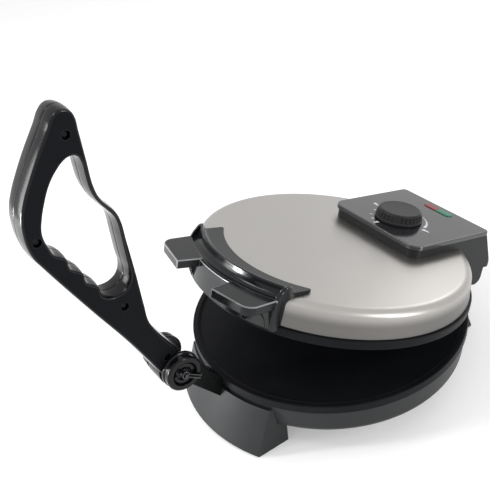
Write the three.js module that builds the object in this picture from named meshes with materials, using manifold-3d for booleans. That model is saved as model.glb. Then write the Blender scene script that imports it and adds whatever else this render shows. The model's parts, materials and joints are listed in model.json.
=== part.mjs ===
// Electric roti maker: a round hinged cooker with a sprung lid and a swing-over pressing lever.
// Millimetres, +Z up, +X to the side seen first, -Y towards the lever, +Y towards the hinge.
// The lid stands ajar and the lever stands upright, as when a roti has just been pressed.

import * as THREE from 'three';
import { mergeVertices } from 'three/addons/utils/BufferGeometryUtils.js';
import Module from 'manifold-3d';

const wasm = await Module();
wasm.setup();

const DEG = Math.PI / 180;

// Overall sizes
const RIM_RADIUS = 140;          // outer radius of the lower plate's rim
const RIM_HEIGHT = 63;           // floor to the top of that rim
const FIT = 0.3;                 // clearance between pieces that touch
const RUNNING_FIT = 0.35;        // clearance round what turns
const OVERRUN = 5;               // how far a cutting tool runs past what it cuts
const ROUND_STEPS = 36;          // facets round the large turned pieces
const SMALL_STEPS = 14;          // facets round pins
const SCREW_STEPS = 6;           // facets round screws and their bores

// Lower plate
const RIM_BAND = 8.6;
const RIM_LEDGE = 6.5;           // width of the flat rim round the cooking face
const COOK_FACE_DROP = 2;
const PLATE_THICKNESS = 5.5;
const EDGE_ROUND = 0.9;

// Base shell
const SHELL_TOP_INSET = 1.3;     // rim to shell, at the top
const SHELL_FLARE = 2.6;         // how much narrower the shell is lower down
const SHELL_HEIGHT = 27.1;       // from the rim's underside down
const SHELL_CORNER = 5;
const SHELL_WALL = 2.2;
const SHELL_LIP = 30;            // width of the floor that the shell turns in
const COVER_THICKNESS = 1.5;
const COVER_EDGE_GAP = 5;        // cover's edge to the shell's corner
const COVER_SCREW_COUNT = 4;

// Heating elements, alike above and below
const ELEMENT_INSET = 36;        // pan's side to the element's middle line
const ELEMENT_TUBE = 7;
const ELEMENT_OPENING = 26 * DEG;
const TERMINAL_RADIUS = 2;
const TERMINAL_LENGTH = 7;
const PAN_SIDE_GAP = 9.9;        // pan's flared edge to the shell's wall
const PAN_WALL = 0.9;
const PAN_FLARE = 3;

// Feet
const FOOT_HALF_WIDTH = 66;
const FOOT_PROUD = 2.9;          // how far the foot's top stands out from the shell's
const FOOT_FLARE = 16.4;         // and how much further it reaches at the floor
const FOOT_DEPTH = 33.6;         // from the foot's top edge in to its inner wall
const FOOT_SLOT = 4.4;           // gap between the foot's top and the rim
const FOOT_WALL = 3;
const PAD_RADIUS = 7.5;
const PAD_THICKNESS = 3.5;
const PAD_PROUD = 1;
const PAD_SIDE_INSET = 16;
const PAD_INSET = 27;            // from the foot's outer edge at the floor
const PAD_BOSS_WALL = 2.5;

// Pressing lever and the arm that carries it
const HUB_REACH = 42;            // rim to the pivot's axis
const HUB_RISE = 39;             // and that axis above the rim
const ARM_HALF = 10;             // half the arm's thickness, and its half width at the eye
const ARM_ROOT_PROUD = 1.5;      // how far the arm's root stands out from the rim
const ARM_ROOT_DEPTH = 14.5;
const ARM_NOTCH_DEPTH = 9;
const HANDLE_LENGTH = 277;
const HANDLE_LEAN = 10.7 * DEG;  // backward lean of the handle's long axis
const HUB_CHEEK = 2.7;           // handle's wall on each side of the arm
const HANDLE_EDGE = 2.2;         // rounding of the handle's edges
const DRUM_RADIUS = 19;
const HUB_END_RADIUS = 15;
const PIVOT_RADIUS = 4;
const PRESS_SWING = 92.4 * DEG;  // swing that brings the lever down on the closed lid
const CAP_RADIUS = 18.4;
const CAP_DEPTH = 10.7;
const CAP_STEP = 0.7;
const CAP_RECESS_RADIUS = 12.2;
const CAP_RECESS_DEPTH = 6;
const CAP_BOSS_RADIUS = 7.5;
const CAP_PAD_GAP = 1.2;         // groove between a raised pad and the recess's wall
const CAP_PAD_DROP = 1.6;        // pad's top below the cap's face
const CAP_PAD_SWEEP = 120 * DEG;
const CLIP_WIRE_RADIUS = 1;
const CLIP_LEG_GAP = 0.8;
const CLIP_REACH = 17;
const CLIP_TURN = -35 * DEG;
const NUB_RADIUS = 2;

// Lid
const LID_GAP = 1.6;             // between the plates when the lid is shut
const LID_AJAR = 15 * DEG;
const HINGE_REACH = 15.7;        // rim to the hinge's axis
const LID_RIM_INSET = 0.6;
const LID_RIM_HEIGHT = 8.1;
const LID_COOK_RISE = 1.2;
const DOME_INSET = 2.5;          // lid's rim to the dome's lower edge
const DOME_TAPER = 2;            // how much narrower the dome is at its crease
const DOME_SHOULDER = 9.6;       // width of the rounding from the crease to the flat top
const DOME_CREASE_HEIGHT = 27.2;
const DOME_SHOULDER_RISE = 7.4;
const DOME_WALL = 1.2;
const DOME_SLOT_WIDTH = 30;
const DOME_SLOT_DEPTH = 16;

// Lid grip
const GRIP_HALF_WIDTH = 72;
const GRIP_SWEEP = 45 * DEG;
const GRIP_SKIRT_WALL = 3.5;
const GRIP_CLEARANCE = 0.5;
const GRIP_SCREW_INSET = 3.3;    // from the edge of the dome's flat top
const GRIP_SCREW_ANGLE = 14 * DEG;
const GRIP_SKIRT_BOTTOM = 4.4;
const FLANGE_WIDTH = 37.4;       // from the skirt in over the dome
const FLANGE_EDGE = 1.8;
const FENCE_SETBACK = 9.4;       // skirt to the fence's front
const FENCE_RISE = 10.4;         // fence above the dome
const FENCE_THICKNESS = 2.6;
const FENCE_WEB = 2.6;           // thickness of the webs that close the fence's two ends
const LEDGE_PROUD = 2;           // bar across the notch, out from the skirt
const LEDGE_DROP = 1;            // its top below the lugs'
const LUG_THICKNESS = 8.5;
const LUG_LENGTH = 21.6;         // out from the skirt
const LUG_INNER_HALF_GAP = 23;
const LUG_OUTER_HALF_GAP = 28;
const LUG_OVERHANG = 2;          // lug's outer side beyond the skirt's end
const LUG_EDGE = 1.2;
const GUSSET_DEPTH = 7.6;
const GUSSET_BOTTOM = 6;
const GUSSET_INNER_X = 46;

// Control box on the lid
const PANEL_HALF_WIDTH = 61.7;
const PANEL_LENGTH = 108.9;
const PANEL_REAR_OVERHANG = 0.5; // panel's rear edge beyond the hinge's axis
const PANEL_RISE = 13.2;         // panel's top above the dome
const PANEL_THICKNESS = 4.8;
const PANEL_FRONT_CORNER = 13;
const PANEL_REAR_CORNER = 5;
const PANEL_EDGE = 0.9;
const BOX_INSET = 2.2;
const BOX_WALL = 2.6;
const BOX_REAR_OVERHANG = 18.3;  // furthest point of the box's sloping back, from the axis
const BOX_REAR_BOTTOM = 3;
const EAR_WIDTH = 9;
const EAR_DROP = 16;
const HINGE_PIN_RADIUS = 3;
const KNUCKLE_RADIUS = 8;
const KNUCKLE_WIDTH = 12;
const KNUCKLE_LEAN = 40 * DEG;
const EAR_SIDE_GAP = 0.6;
const YOKE_BARREL_RADIUS = 6.3;
const YOKE_SIDE_GAP = 2;         // spring's outer end to the knuckle
const YOKE_TONGUE_REACH = 13;
const YOKE_TONGUE = 3;
const REST_RIB_REACH = 14.4;
const REST_RIB_GAP = 1.7;        // rest rib to the yoke's barrel
const SPRING_WIRE = 1.5;
const SPRING_PITCH = 2.6;
const SPRING_TURNS = 4;

// Knob, lamps and lenses
const KNOB_INSET = 36.7;         // panel's front edge to the knob's axis
const KNOB_RADIUS = 24.5;
const KNOB_TAPER = 3;
const KNOB_HEIGHT = 11;
const KNOB_LIFT = 0.5;
const KNOB_RIBS = 24;
const KNOB_RIB_DEPTH = 0.7;
const SHAFT_RADIUS = 3;
const THERMOSTAT_WIDTH = 28;
const THERMOSTAT_DEPTH = 24;
const THERMOSTAT_HEIGHT = 5.6;
const LENS_INSET = 11.7;         // panel's rear edge to the lens's middle
const LENS_LENGTH = 37;
const LENS_WIDTH = 9.5;
const LENS_PROUD = 1;
const LAMP_RADIUS = 2.4;
const LAMP_LENGTH = 5;
const FUSE_RADIUS = 2.2;
const FUSE_LENGTH = 22;

// Screws and the cord's inlet
const SCREW_RADIUS = 1.8;
const SCREW_HEAD_RADIUS = 3.4;
const SCREW_HEAD_HEIGHT = 2.2;
const SCREW_LENGTH = 12;
const HANDLE_SCREW_RECESS = 5;
const GLAND_RADIUS = 5;
const GLAND_BORE = 3.4;
const GLAND_LENGTH = 7;
const GLAND_COLLAR = 2;
const GLAND_INSET = 9;           // foot's inner wall to the bush's axis

// Sizes that follow from those above
const RIM_BOTTOM = RIM_HEIGHT - RIM_BAND;
const LID_Z = RIM_HEIGHT + LID_GAP;
const SHELL_BOTTOM = RIM_BOTTOM - SHELL_HEIGHT;
const COOK_FACE = RIM_HEIGHT - COOK_FACE_DROP;
const PLATE_UNDERSIDE = COOK_FACE - PLATE_THICKNESS;
const SHELL_TOP = RIM_BOTTOM - FIT;
const SHELL_TOP_RADIUS = RIM_RADIUS - SHELL_TOP_INSET;
const SHELL_LOW_RADIUS = SHELL_TOP_RADIUS - SHELL_FLARE;
const SHELL_FLOOR = SHELL_BOTTOM + SHELL_WALL;
const SHELL_LIP_RADIUS = SHELL_LOW_RADIUS - SHELL_LIP;
const PAN_RADIUS = SHELL_LOW_RADIUS - SHELL_WALL - PAN_SIDE_GAP - PAN_FLARE;
const ELEMENT_RADIUS = PAN_RADIUS - ELEMENT_INSET;
const FOOT_TOP_RADIUS = SHELL_TOP_RADIUS + FOOT_PROUD;
const FOOT_BOTTOM_RADIUS = FOOT_TOP_RADIUS + FOOT_FLARE;
const FOOT_INNER_REACH = FOOT_TOP_RADIUS - FOOT_DEPTH;
const FOOT_TOP = RIM_BOTTOM - FOOT_SLOT;
const PAD_X = FOOT_HALF_WIDTH - PAD_SIDE_INSET;
const PAD_REACH = FOOT_BOTTOM_RADIUS - PAD_INSET;
const HUB_Y = -RIM_RADIUS - HUB_REACH;
const HUB_Z = RIM_HEIGHT + HUB_RISE;
const HANDLE_HALF = ARM_HALF + FIT + HUB_CHEEK;
const ARM_ROOT_OUTER = RIM_RADIUS + ARM_ROOT_PROUD;
const ARM_ROOT_INNER = ARM_ROOT_OUTER - ARM_ROOT_DEPTH;
const ARM_NOTCH_FLOOR = FOOT_TOP - ARM_NOTCH_DEPTH;
const HINGE_Y = RIM_RADIUS + HINGE_REACH;
const LID_RIM_RADIUS = RIM_RADIUS - LID_RIM_INSET;
const DOME_BASE_RADIUS = LID_RIM_RADIUS - DOME_INSET;
const DOME_CREASE_RADIUS = DOME_BASE_RADIUS - DOME_TAPER;
const DOME_FLAT_RADIUS = DOME_CREASE_RADIUS - DOME_SHOULDER;
const DOME_HEIGHT = DOME_CREASE_HEIGHT + DOME_SHOULDER_RISE;
const GRIP_SKIRT_RADIUS = LID_RIM_RADIUS + GRIP_CLEARANCE + GRIP_SKIRT_WALL;
const FLANGE_RADIUS = GRIP_SKIRT_RADIUS - FLANGE_WIDTH;
const GRIP_SCREW_RADIUS = DOME_FLAT_RADIUS - GRIP_SCREW_INSET;
const FENCE_RADIUS = GRIP_SKIRT_RADIUS - FENCE_SETBACK;
const FENCE_TOP = DOME_HEIGHT + FENCE_RISE;
const LUG_REACH = GRIP_SKIRT_RADIUS + LUG_LENGTH;
const LUG_OUTER_X = GRIP_HALF_WIDTH + LUG_OVERHANG;
const GUSSET_RADIUS = GRIP_SKIRT_RADIUS + GUSSET_DEPTH;
const LID_COOK_TOP = LID_COOK_RISE + PLATE_THICKNESS;
const DOME_BOTTOM = LID_RIM_HEIGHT + FIT;
const PANEL_REAR_Y = HINGE_Y + PANEL_REAR_OVERHANG;
const PANEL_FRONT_Y = PANEL_REAR_Y - PANEL_LENGTH;
const PANEL_TOP = DOME_HEIGHT + PANEL_RISE;
const PANEL_UNDERSIDE = PANEL_TOP - PANEL_THICKNESS;
const BOX_REAR_REACH = HINGE_Y + BOX_REAR_OVERHANG;
const KNOB_Y = PANEL_FRONT_Y + KNOB_INSET;
const KNOB_TOP_RADIUS = KNOB_RADIUS - KNOB_TAPER;
const LENS_Y = PANEL_REAR_Y - LENS_INSET;
const BOX_HALF_WIDTH = PANEL_HALF_WIDTH - BOX_INSET;
const EAR_INNER_X = BOX_HALF_WIDTH - EAR_WIDTH;
const KNUCKLE_OUTER_X = EAR_INNER_X - EAR_SIDE_GAP;
const KNUCKLE_INNER_X = KNUCKLE_OUTER_X - KNUCKLE_WIDTH;
const SPRING_LENGTH = SPRING_TURNS * SPRING_PITCH + SPRING_WIRE;
const YOKE_HALF = KNUCKLE_INNER_X - SPRING_LENGTH - YOKE_SIDE_GAP;

// Finishes
const finish = (color, roughness, metalness) =>
  new THREE.MeshStandardMaterial({ color, roughness, metalness });
const glossBlack = finish(0x1b1c1e, 0.25, 0);
const satinBlack = finish(0x202225, 0.45, 0);
const darkGrey = finish(0x3c3e41, 0.4, 0);
const castPlate = finish(0x2b2c2e, 0.55, 0.3);
const brushedSteel = finish(0xb9b6b1, 0.3, 1);
const plainSteel = finish(0x8d8f92, 0.35, 1);
const elementSteel = finish(0x5a554f, 0.5, 1);
const tinPlate = finish(0xa7a8a8, 0.4, 1);
const rubber = finish(0x161616, 0.85, 0);
const redLens = finish(0xb4453f, 0.2, 0);
const greenLens = finish(0x2f8a63, 0.2, 0);
const lampGlass = finish(0xd9cfc0, 0.1, 0);
const whiteCeramic = finish(0xd8d4cc, 0.6, 0);

// Geometry with shared corners and no spare triangles, facing outwards
function clean(geometry) {
  const bare = geometry.clone();
  bare.deleteAttribute('normal');
  bare.deleteAttribute('uv');
  const merged = mergeVertices(bare);
  const position = merged.getAttribute('position');
  const old = merged.getIndex().array;
  const index = [];
  for (let i = 0; i < old.length; i += 3) {
    const [a, b, c] = [old[i], old[i + 1], old[i + 2]];
    if (a !== b && b !== c && c !== a) {
      index.push(a, b, c);
    }
  }
  const corner = (i) => new THREE.Vector3().fromBufferAttribute(position, i);
  let volume = 0;
  for (let i = 0; i < index.length; i += 3) {
    volume += corner(index[i]).dot(corner(index[i + 1]).cross(corner(index[i + 2])));
  }
  if (volume < 0) {
    index.reverse();
  }
  merged.setIndex(index);
  return merged;
}

function toSolid(geometry) {
  const ready = clean(geometry);
  return new wasm.Manifold(new wasm.Mesh({
    numProp: 3,
    vertProperties: new Float32Array(ready.getAttribute('position').array),
    triVerts: new Uint32Array(ready.getIndex().array),
  }));
}

function toGeometry(solid) {
  const mesh = solid.getMesh();
  const geometry = new THREE.BufferGeometry();
  geometry.setAttribute('position', new THREE.BufferAttribute(new Float32Array(mesh.vertProperties), 3));
  geometry.setIndex(new THREE.BufferAttribute(new Uint32Array(mesh.triVerts), 1));
  return geometry;
}

function cut(body, ...tools) {
  return toGeometry(tools.reduce((left, tool) => left.subtract(toSolid(tool)), toSolid(body)));
}

function fuse(...bodies) {
  return toGeometry(bodies.slice(1).reduce((sum, body) => sum.add(toSolid(body)), toSolid(bodies[0])));
}

function common(...bodies) {
  return toGeometry(bodies.slice(1).reduce((sum, body) => sum.intersect(toSolid(body)), toSolid(bodies[0])));
}

// A body turned round the Z axis from [radius, height] points
function turned(profile, steps = ROUND_STEPS) {
  const points = profile.map(([radius, height]) => new THREE.Vector2(radius, height));
  return clean(new THREE.LatheGeometry(points, steps).rotateX(Math.PI / 2));
}

// A closed ring turned round the Z axis: the profile comes back to its start
function turnedRing(profile, steps = ROUND_STEPS) {
  return turned([...profile, profile[0]], steps);
}

const axisZToX = new THREE.Matrix4().makeBasis(
  new THREE.Vector3(0, 1, 0),
  new THREE.Vector3(0, 0, 1),
  new THREE.Vector3(1, 0, 0),
);
const lieAlongX = (geometry) => geometry.applyMatrix4(axisZToX);

// A flat outline made thick, from z = 0 up, with its top and bottom edges rounded
function slab(shape, thickness, edge = 0, curveSteps = 5, edgeSteps = 1) {
  const rounded = edge > 0;
  const geometry = new THREE.ExtrudeGeometry(shape, {
    depth: thickness - 2 * edge,
    bevelEnabled: rounded,
    bevelThickness: edge,
    bevelSize: edge,
    bevelOffset: -edge,
    bevelSegments: edgeSteps,
    curveSegments: curveSteps,
  });
  return clean(geometry.translate(0, 0, edge));
}

// A block between two corners
function block(x0, x1, y0, y1, z0, z1) {
  return new THREE.BoxGeometry(x1 - x0, y1 - y0, z1 - z0)
    .translate((x0 + x1) / 2, (y0 + y1) / 2, (z0 + z1) / 2);
}

function rod(radius, length, steps = SMALL_STEPS) {
  return turned([[0, 0], [radius, 0], [radius, length], [0, length]], steps);
}

function rectangle(halfWidth, front, rear, frontCorner, rearCorner) {
  const shape = new THREE.Shape();
  shape.moveTo(-halfWidth + frontCorner, front);
  shape.lineTo(halfWidth - frontCorner, front);
  shape.absarc(halfWidth - frontCorner, front + frontCorner, frontCorner, -Math.PI / 2, 0);
  shape.lineTo(halfWidth, rear - rearCorner);
  shape.absarc(halfWidth - rearCorner, rear - rearCorner, rearCorner, 0, Math.PI / 2);
  shape.lineTo(-halfWidth + rearCorner, rear);
  shape.absarc(-halfWidth + rearCorner, rear - rearCorner, rearCorner, Math.PI / 2, Math.PI);
  shape.lineTo(-halfWidth, front + frontCorner);
  shape.absarc(-halfWidth + frontCorner, front + frontCorner, frontCorner, Math.PI, Math.PI * 1.5);
  return shape;
}

// A skin over rings of points, closed at both ends, or joined end to start
function skin(rings, joined = false) {
  const count = rings[0].length;
  const positions = rings.flat().flatMap((p) => [p.x, p.y, p.z]);
  const index = [];
  const spans = joined ? rings.length : rings.length - 1;
  for (let r = 0; r < spans; r += 1) {
    const here = r * count;
    const next = ((r + 1) % rings.length) * count;
    for (let i = 0; i < count; i += 1) {
      const j = (i + 1) % count;
      index.push(here + i, here + j, next + j, here + i, next + j, next + i);
    }
  }
  if (!joined) {
    const faces = capFaces(rings[0]);
    const last = (rings.length - 1) * count;
    faces.forEach(([a, b, c]) => index.push(a, c, b));
    capFaces(rings[rings.length - 1]).forEach(([a, b, c]) => index.push(last + a, last + b, last + c));
  }
  const geometry = new THREE.BufferGeometry();
  geometry.setAttribute('position', new THREE.Float32BufferAttribute(positions, 3));
  geometry.setIndex(index);
  return clean(geometry);
}

// Triangles over one flat ring, wound as the ring is
function capFaces(ring) {
  const normal = new THREE.Vector3();
  ring.forEach((p, i) => normal.add(p.clone().cross(ring[(i + 1) % ring.length])));
  normal.normalize();
  const across = ring[1].clone().sub(ring[0]).normalize();
  const up = normal.clone().cross(across);
  const flat = ring.map((p) => new THREE.Vector2(p.dot(across), p.dot(up)));
  return THREE.ShapeUtils.triangulateShape(flat, []);
}

// A [radius, height] outline swept round the Z axis between two angles
function sector(profile, from, to, steps) {
  const rings = [];
  for (let i = 0; i <= steps; i += 1) {
    const angle = from + (to - from) * i / steps;
    rings.push(profile.map(([r, z]) => new THREE.Vector3(r * Math.cos(angle), r * Math.sin(angle), z)));
  }
  return skin(rings);
}

// A round wire along a list of points
function wire(points, radius, sides = 6, joined = false) {
  const curve = new THREE.CatmullRomCurve3(points, joined);
  const steps = joined ? points.length : points.length - 1;
  const frames = curve.computeFrenetFrames(steps, joined);
  const rings = [];
  for (let i = 0; i < steps + (joined ? 0 : 1); i += 1) {
    const centre = curve.getPoint(i / steps);
    const ring = [];
    for (let s = 0; s < sides; s += 1) {
      const angle = 2 * Math.PI * s / sides;
      ring.push(centre.clone()
        .addScaledVector(frames.normals[i], radius * Math.cos(angle))
        .addScaledVector(frames.binormals[i], radius * Math.sin(angle)));
    }
    rings.push(ring);
  }
  return skin(rings, joined);
}

// A pan-head screw with its head's underside at z = 0 and its shank going up
function screw(length = SCREW_LENGTH) {
  return turned([
    [0, -SCREW_HEAD_HEIGHT],
    [SCREW_HEAD_RADIUS * 0.6, -SCREW_HEAD_HEIGHT],
    [SCREW_HEAD_RADIUS, -SCREW_HEAD_HEIGHT / 2],
    [SCREW_HEAD_RADIUS, 0],
    [SCREW_RADIUS, 0],
    [SCREW_RADIUS, length],
    [0, length],
  ], SCREW_STEPS);
}

const screwBore = (length = SCREW_LENGTH) =>
  rod(SCREW_RADIUS + FIT, length + FIT + OVERRUN, SCREW_STEPS).translate(0, 0, -OVERRUN);

const part = new THREE.Group();

function place(group, name, geometry, material) {
  const mesh = new THREE.Mesh(clean(geometry), material);
  mesh.name = name;
  group.add(mesh);
  return mesh;
}

// Base: plate, shell, cover and heating element

const shellOutline = [
  [SHELL_TOP_RADIUS, SHELL_TOP],
  [SHELL_LOW_RADIUS, SHELL_BOTTOM + SHELL_CORNER],
  [SHELL_LOW_RADIUS - SHELL_CORNER * 0.3, SHELL_BOTTOM + SHELL_CORNER * 0.3],
  [SHELL_LOW_RADIUS - SHELL_CORNER, SHELL_BOTTOM],
  [SHELL_LIP_RADIUS, SHELL_BOTTOM],
  [SHELL_LIP_RADIUS, SHELL_FLOOR],
  [SHELL_LOW_RADIUS - SHELL_CORNER, SHELL_FLOOR],
  [SHELL_LOW_RADIUS - SHELL_WALL, SHELL_BOTTOM + SHELL_CORNER],
  [SHELL_TOP_RADIUS - SHELL_WALL, SHELL_TOP],
];

const armSlotHalf = ARM_HALF + FIT;
const coverRadius = SHELL_LOW_RADIUS - SHELL_CORNER - COVER_EDGE_GAP;
const coverScrewRadius = (SHELL_LIP_RADIUS + coverRadius) / 2;
const coverScrewLength = SHELL_WALL + FIT + COVER_THICKNESS + SCREW_RADIUS;
const coverScrewSpots = Array.from({ length: COVER_SCREW_COUNT }, (_, i) => {
  const angle = 2 * Math.PI * (i + 0.5) / COVER_SCREW_COUNT;
  return [coverScrewRadius * Math.cos(angle), coverScrewRadius * Math.sin(angle)];
});

// The screws that hold the feet and the arm's root to the shell
const rootScrewX = ARM_HALF / 2;
const rootScrewY = -(ARM_ROOT_INNER + SCREW_HEAD_RADIUS + FIT);
const footScrewX = PAD_X - PAD_RADIUS * 2;
const footScrewRadius = coverRadius + SCREW_RADIUS + 2 * FIT;
const footScrewY = Math.sqrt(footScrewRadius ** 2 - footScrewX ** 2);
const footPlateBottom = SHELL_BOTTOM - FIT - FOOT_WALL;
const glandY = FOOT_INNER_REACH + GLAND_INSET;
const glandZ = (PAD_PROUD + footPlateBottom) / 2;
const frontScrewSpots = [[-rootScrewX, rootScrewY], [rootScrewX, rootScrewY]];
const rearScrewSpots = [[-footScrewX, footScrewY], [footScrewX, footScrewY]];

function baseShell() {
  const slot = block(
    -armSlotHalf, armSlotHalf,
    -RIM_RADIUS - OVERRUN, -SHELL_LOW_RADIUS + SHELL_CORNER + OVERRUN,
    SHELL_FLOOR + FIT, SHELL_TOP + OVERRUN,
  );
  const bores = [...coverScrewSpots, ...frontScrewSpots, ...rearScrewSpots]
    .map(([x, y]) => screwBore().translate(x, y, SHELL_BOTTOM));
  return cut(turnedRing(shellOutline), slot, ...bores);
}

function lowerPlate() {
  const ledge = RIM_RADIUS - RIM_LEDGE;
  return turned([
    [0, PLATE_UNDERSIDE],
    [ledge, PLATE_UNDERSIDE],
    [ledge, RIM_BOTTOM],
    [RIM_RADIUS - EDGE_ROUND, RIM_BOTTOM],
    [RIM_RADIUS, RIM_BOTTOM + EDGE_ROUND],
    [RIM_RADIUS, RIM_HEIGHT - EDGE_ROUND],
    [RIM_RADIUS - EDGE_ROUND, RIM_HEIGHT],
    [ledge + COOK_FACE_DROP / 2, RIM_HEIGHT],
    [ledge - COOK_FACE_DROP / 2, COOK_FACE],
    [0, COOK_FACE],
  ]);
}

// A tube bent to a broken ring, with two terminals; its middle is at z = 0
function heatingElement(terminalDirection) {
  const steps = 20;
  const points = [];
  for (let i = 0; i <= steps; i += 1) {
    const angle = Math.PI / 2 + ELEMENT_OPENING / 2 + (2 * Math.PI - ELEMENT_OPENING) * i / steps;
    points.push(new THREE.Vector3(ELEMENT_RADIUS * Math.cos(angle), ELEMENT_RADIUS * Math.sin(angle), 0));
  }
  const start = terminalDirection < 0 ? -TERMINAL_LENGTH : 0;
  const inset = TERMINAL_RADIUS * 2 / ELEMENT_RADIUS;
  const terminals = [-1, 1].map((side) => {
    const angle = Math.PI / 2 + side * (ELEMENT_OPENING / 2 + inset);
    return rod(TERMINAL_RADIUS, TERMINAL_LENGTH, 8)
      .translate(ELEMENT_RADIUS * Math.cos(angle), ELEMENT_RADIUS * Math.sin(angle), start);
  });
  return fuse(wire(points, ELEMENT_TUBE / 2, 6), ...terminals);
}

// The tin pan that throws the element's heat back; its open side faces up
function reflectorPan(depth) {
  const holes = [-1, 1].map((side) => {
    const angle = Math.PI / 2 + side * ELEMENT_OPENING / 2;
    return rod(ELEMENT_TUBE, depth, 8)
      .translate(ELEMENT_RADIUS * Math.cos(angle), ELEMENT_RADIUS * Math.sin(angle), -depth / 2);
  });
  return cut(turned([
    [0, 0],
    [PAN_RADIUS, 0],
    [PAN_RADIUS + PAN_FLARE, depth],
    [PAN_RADIUS + PAN_FLARE - PAN_WALL, depth],
    [PAN_RADIUS - PAN_WALL, PAN_WALL],
    [0, PAN_WALL],
  ], 20), ...holes);
}

const panDepth = ELEMENT_TUBE + 2 * FIT + PAN_WALL;

function buildBase() {
  place(part, 'base_shell', baseShell(), darkGrey);
  place(part, 'lower_plate', lowerPlate(), castPlate);
  place(part, 'lower_heating_element', heatingElement(-1), elementSteel)
    .position.z = PLATE_UNDERSIDE - FIT - ELEMENT_TUBE / 2;
  place(part, 'lower_reflector', reflectorPan(panDepth), tinPlate)
    .position.z = PLATE_UNDERSIDE - FIT - panDepth;
  const coverBores = coverScrewSpots.map(([x, y]) => screwBore().translate(x, y, 0));
  const cover = turned([[0, 0], [coverRadius, 0], [coverRadius, COVER_THICKNESS], [0, COVER_THICKNESS]]);
  place(part, 'bottom_cover', cut(cover, ...coverBores), tinPlate).position.z = SHELL_FLOOR + FIT;
  coverScrewSpots.forEach(([x, y], i) => {
    place(part, `bottom_cover_screw_${i + 1}`, screw(coverScrewLength), plainSteel)
      .position.set(x, y, SHELL_BOTTOM - FIT);
  });
}

// Feet: a front foot that carries the lever's arm, a rear foot that carries the hinge

const footProfile = [
  [0, PAD_PROUD],
  [FOOT_BOTTOM_RADIUS - EDGE_ROUND, PAD_PROUD],
  [FOOT_BOTTOM_RADIUS, PAD_PROUD + EDGE_ROUND],
  [FOOT_TOP_RADIUS, FOOT_TOP],
  [0, FOOT_TOP],
];

// The space that the shell takes up, with its clearance, open above
const shellSpace = () => turned([
  [0, SHELL_BOTTOM - FIT],
  [SHELL_LOW_RADIUS - SHELL_CORNER, SHELL_BOTTOM - FIT],
  [SHELL_LOW_RADIUS - SHELL_CORNER * 0.3 + FIT, SHELL_BOTTOM + SHELL_CORNER * 0.3 - FIT],
  [SHELL_LOW_RADIUS + FIT, SHELL_BOTTOM + SHELL_CORNER - FIT],
  [SHELL_TOP_RADIUS + FIT, SHELL_TOP],
  [SHELL_TOP_RADIUS + FIT, SHELL_TOP + OVERRUN],
  [0, SHELL_TOP + OVERRUN],
]);

// A foot towards -Y; the rear one is its mirror image
function footBlock() {
  const outer = common(
    turned(footProfile),
    block(-FOOT_HALF_WIDTH, FOOT_HALF_WIDTH, -FOOT_BOTTOM_RADIUS, -FOOT_INNER_REACH, 0, FOOT_TOP),
  );
  const hollow = common(
    turned([
      [0, -OVERRUN],
      [FOOT_BOTTOM_RADIUS - FOOT_WALL, -OVERRUN],
      [FOOT_BOTTOM_RADIUS - FOOT_WALL, PAD_PROUD],
      [FOOT_TOP_RADIUS - FOOT_WALL + (FOOT_BOTTOM_RADIUS - FOOT_TOP_RADIUS) / 2, footPlateBottom],
      [0, footPlateBottom],
    ]),
    block(
      -FOOT_HALF_WIDTH + FOOT_WALL, FOOT_HALF_WIDTH - FOOT_WALL,
      -FOOT_BOTTOM_RADIUS, -FOOT_INNER_REACH - FOOT_WALL,
      -OVERRUN, footPlateBottom,
    ),
  );
  const bosses = [-PAD_X, PAD_X].map((x) => common(
    rod(PAD_RADIUS + FIT + PAD_BOSS_WALL, footPlateBottom, 14).translate(x, -PAD_REACH, PAD_PROUD),
    outer,
  ));
  const sockets = [-PAD_X, PAD_X].map((x) =>
    rod(PAD_RADIUS + FIT, PAD_THICKNESS + FIT, 14).translate(x, -PAD_REACH, 0));
  return cut(fuse(cut(outer, shellSpace(), hollow), ...bosses), ...sockets);
}

function frontFoot() {
  const notch = block(
    -armSlotHalf, armSlotHalf,
    -FOOT_BOTTOM_RADIUS, -FOOT_INNER_REACH,
    ARM_NOTCH_FLOOR, FOOT_TOP + OVERRUN,
  );
  const pocket = block(
    -armSlotHalf, armSlotHalf,
    -ARM_ROOT_OUTER - FIT, -FOOT_INNER_REACH,
    SHELL_BOTTOM, FOOT_TOP,
  );
  const bores = frontScrewSpots.map(([x, y]) => screwBore().translate(x, y, footPlateBottom));
  return cut(footBlock(), notch, pocket, ...bores);
}

const knuckleOutline = () => {
  const shape = new THREE.Shape();
  shape.moveTo(FOOT_TOP_RADIUS - KNUCKLE_RADIUS * 2, SHELL_BOTTOM + SHELL_CORNER);
  shape.lineTo(FOOT_TOP_RADIUS, SHELL_BOTTOM + SHELL_CORNER);
  shape.absarc(HINGE_Y, LID_Z, KNUCKLE_RADIUS, -KNUCKLE_LEAN, Math.PI - KNUCKLE_LEAN);
  return shape;
};

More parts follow.
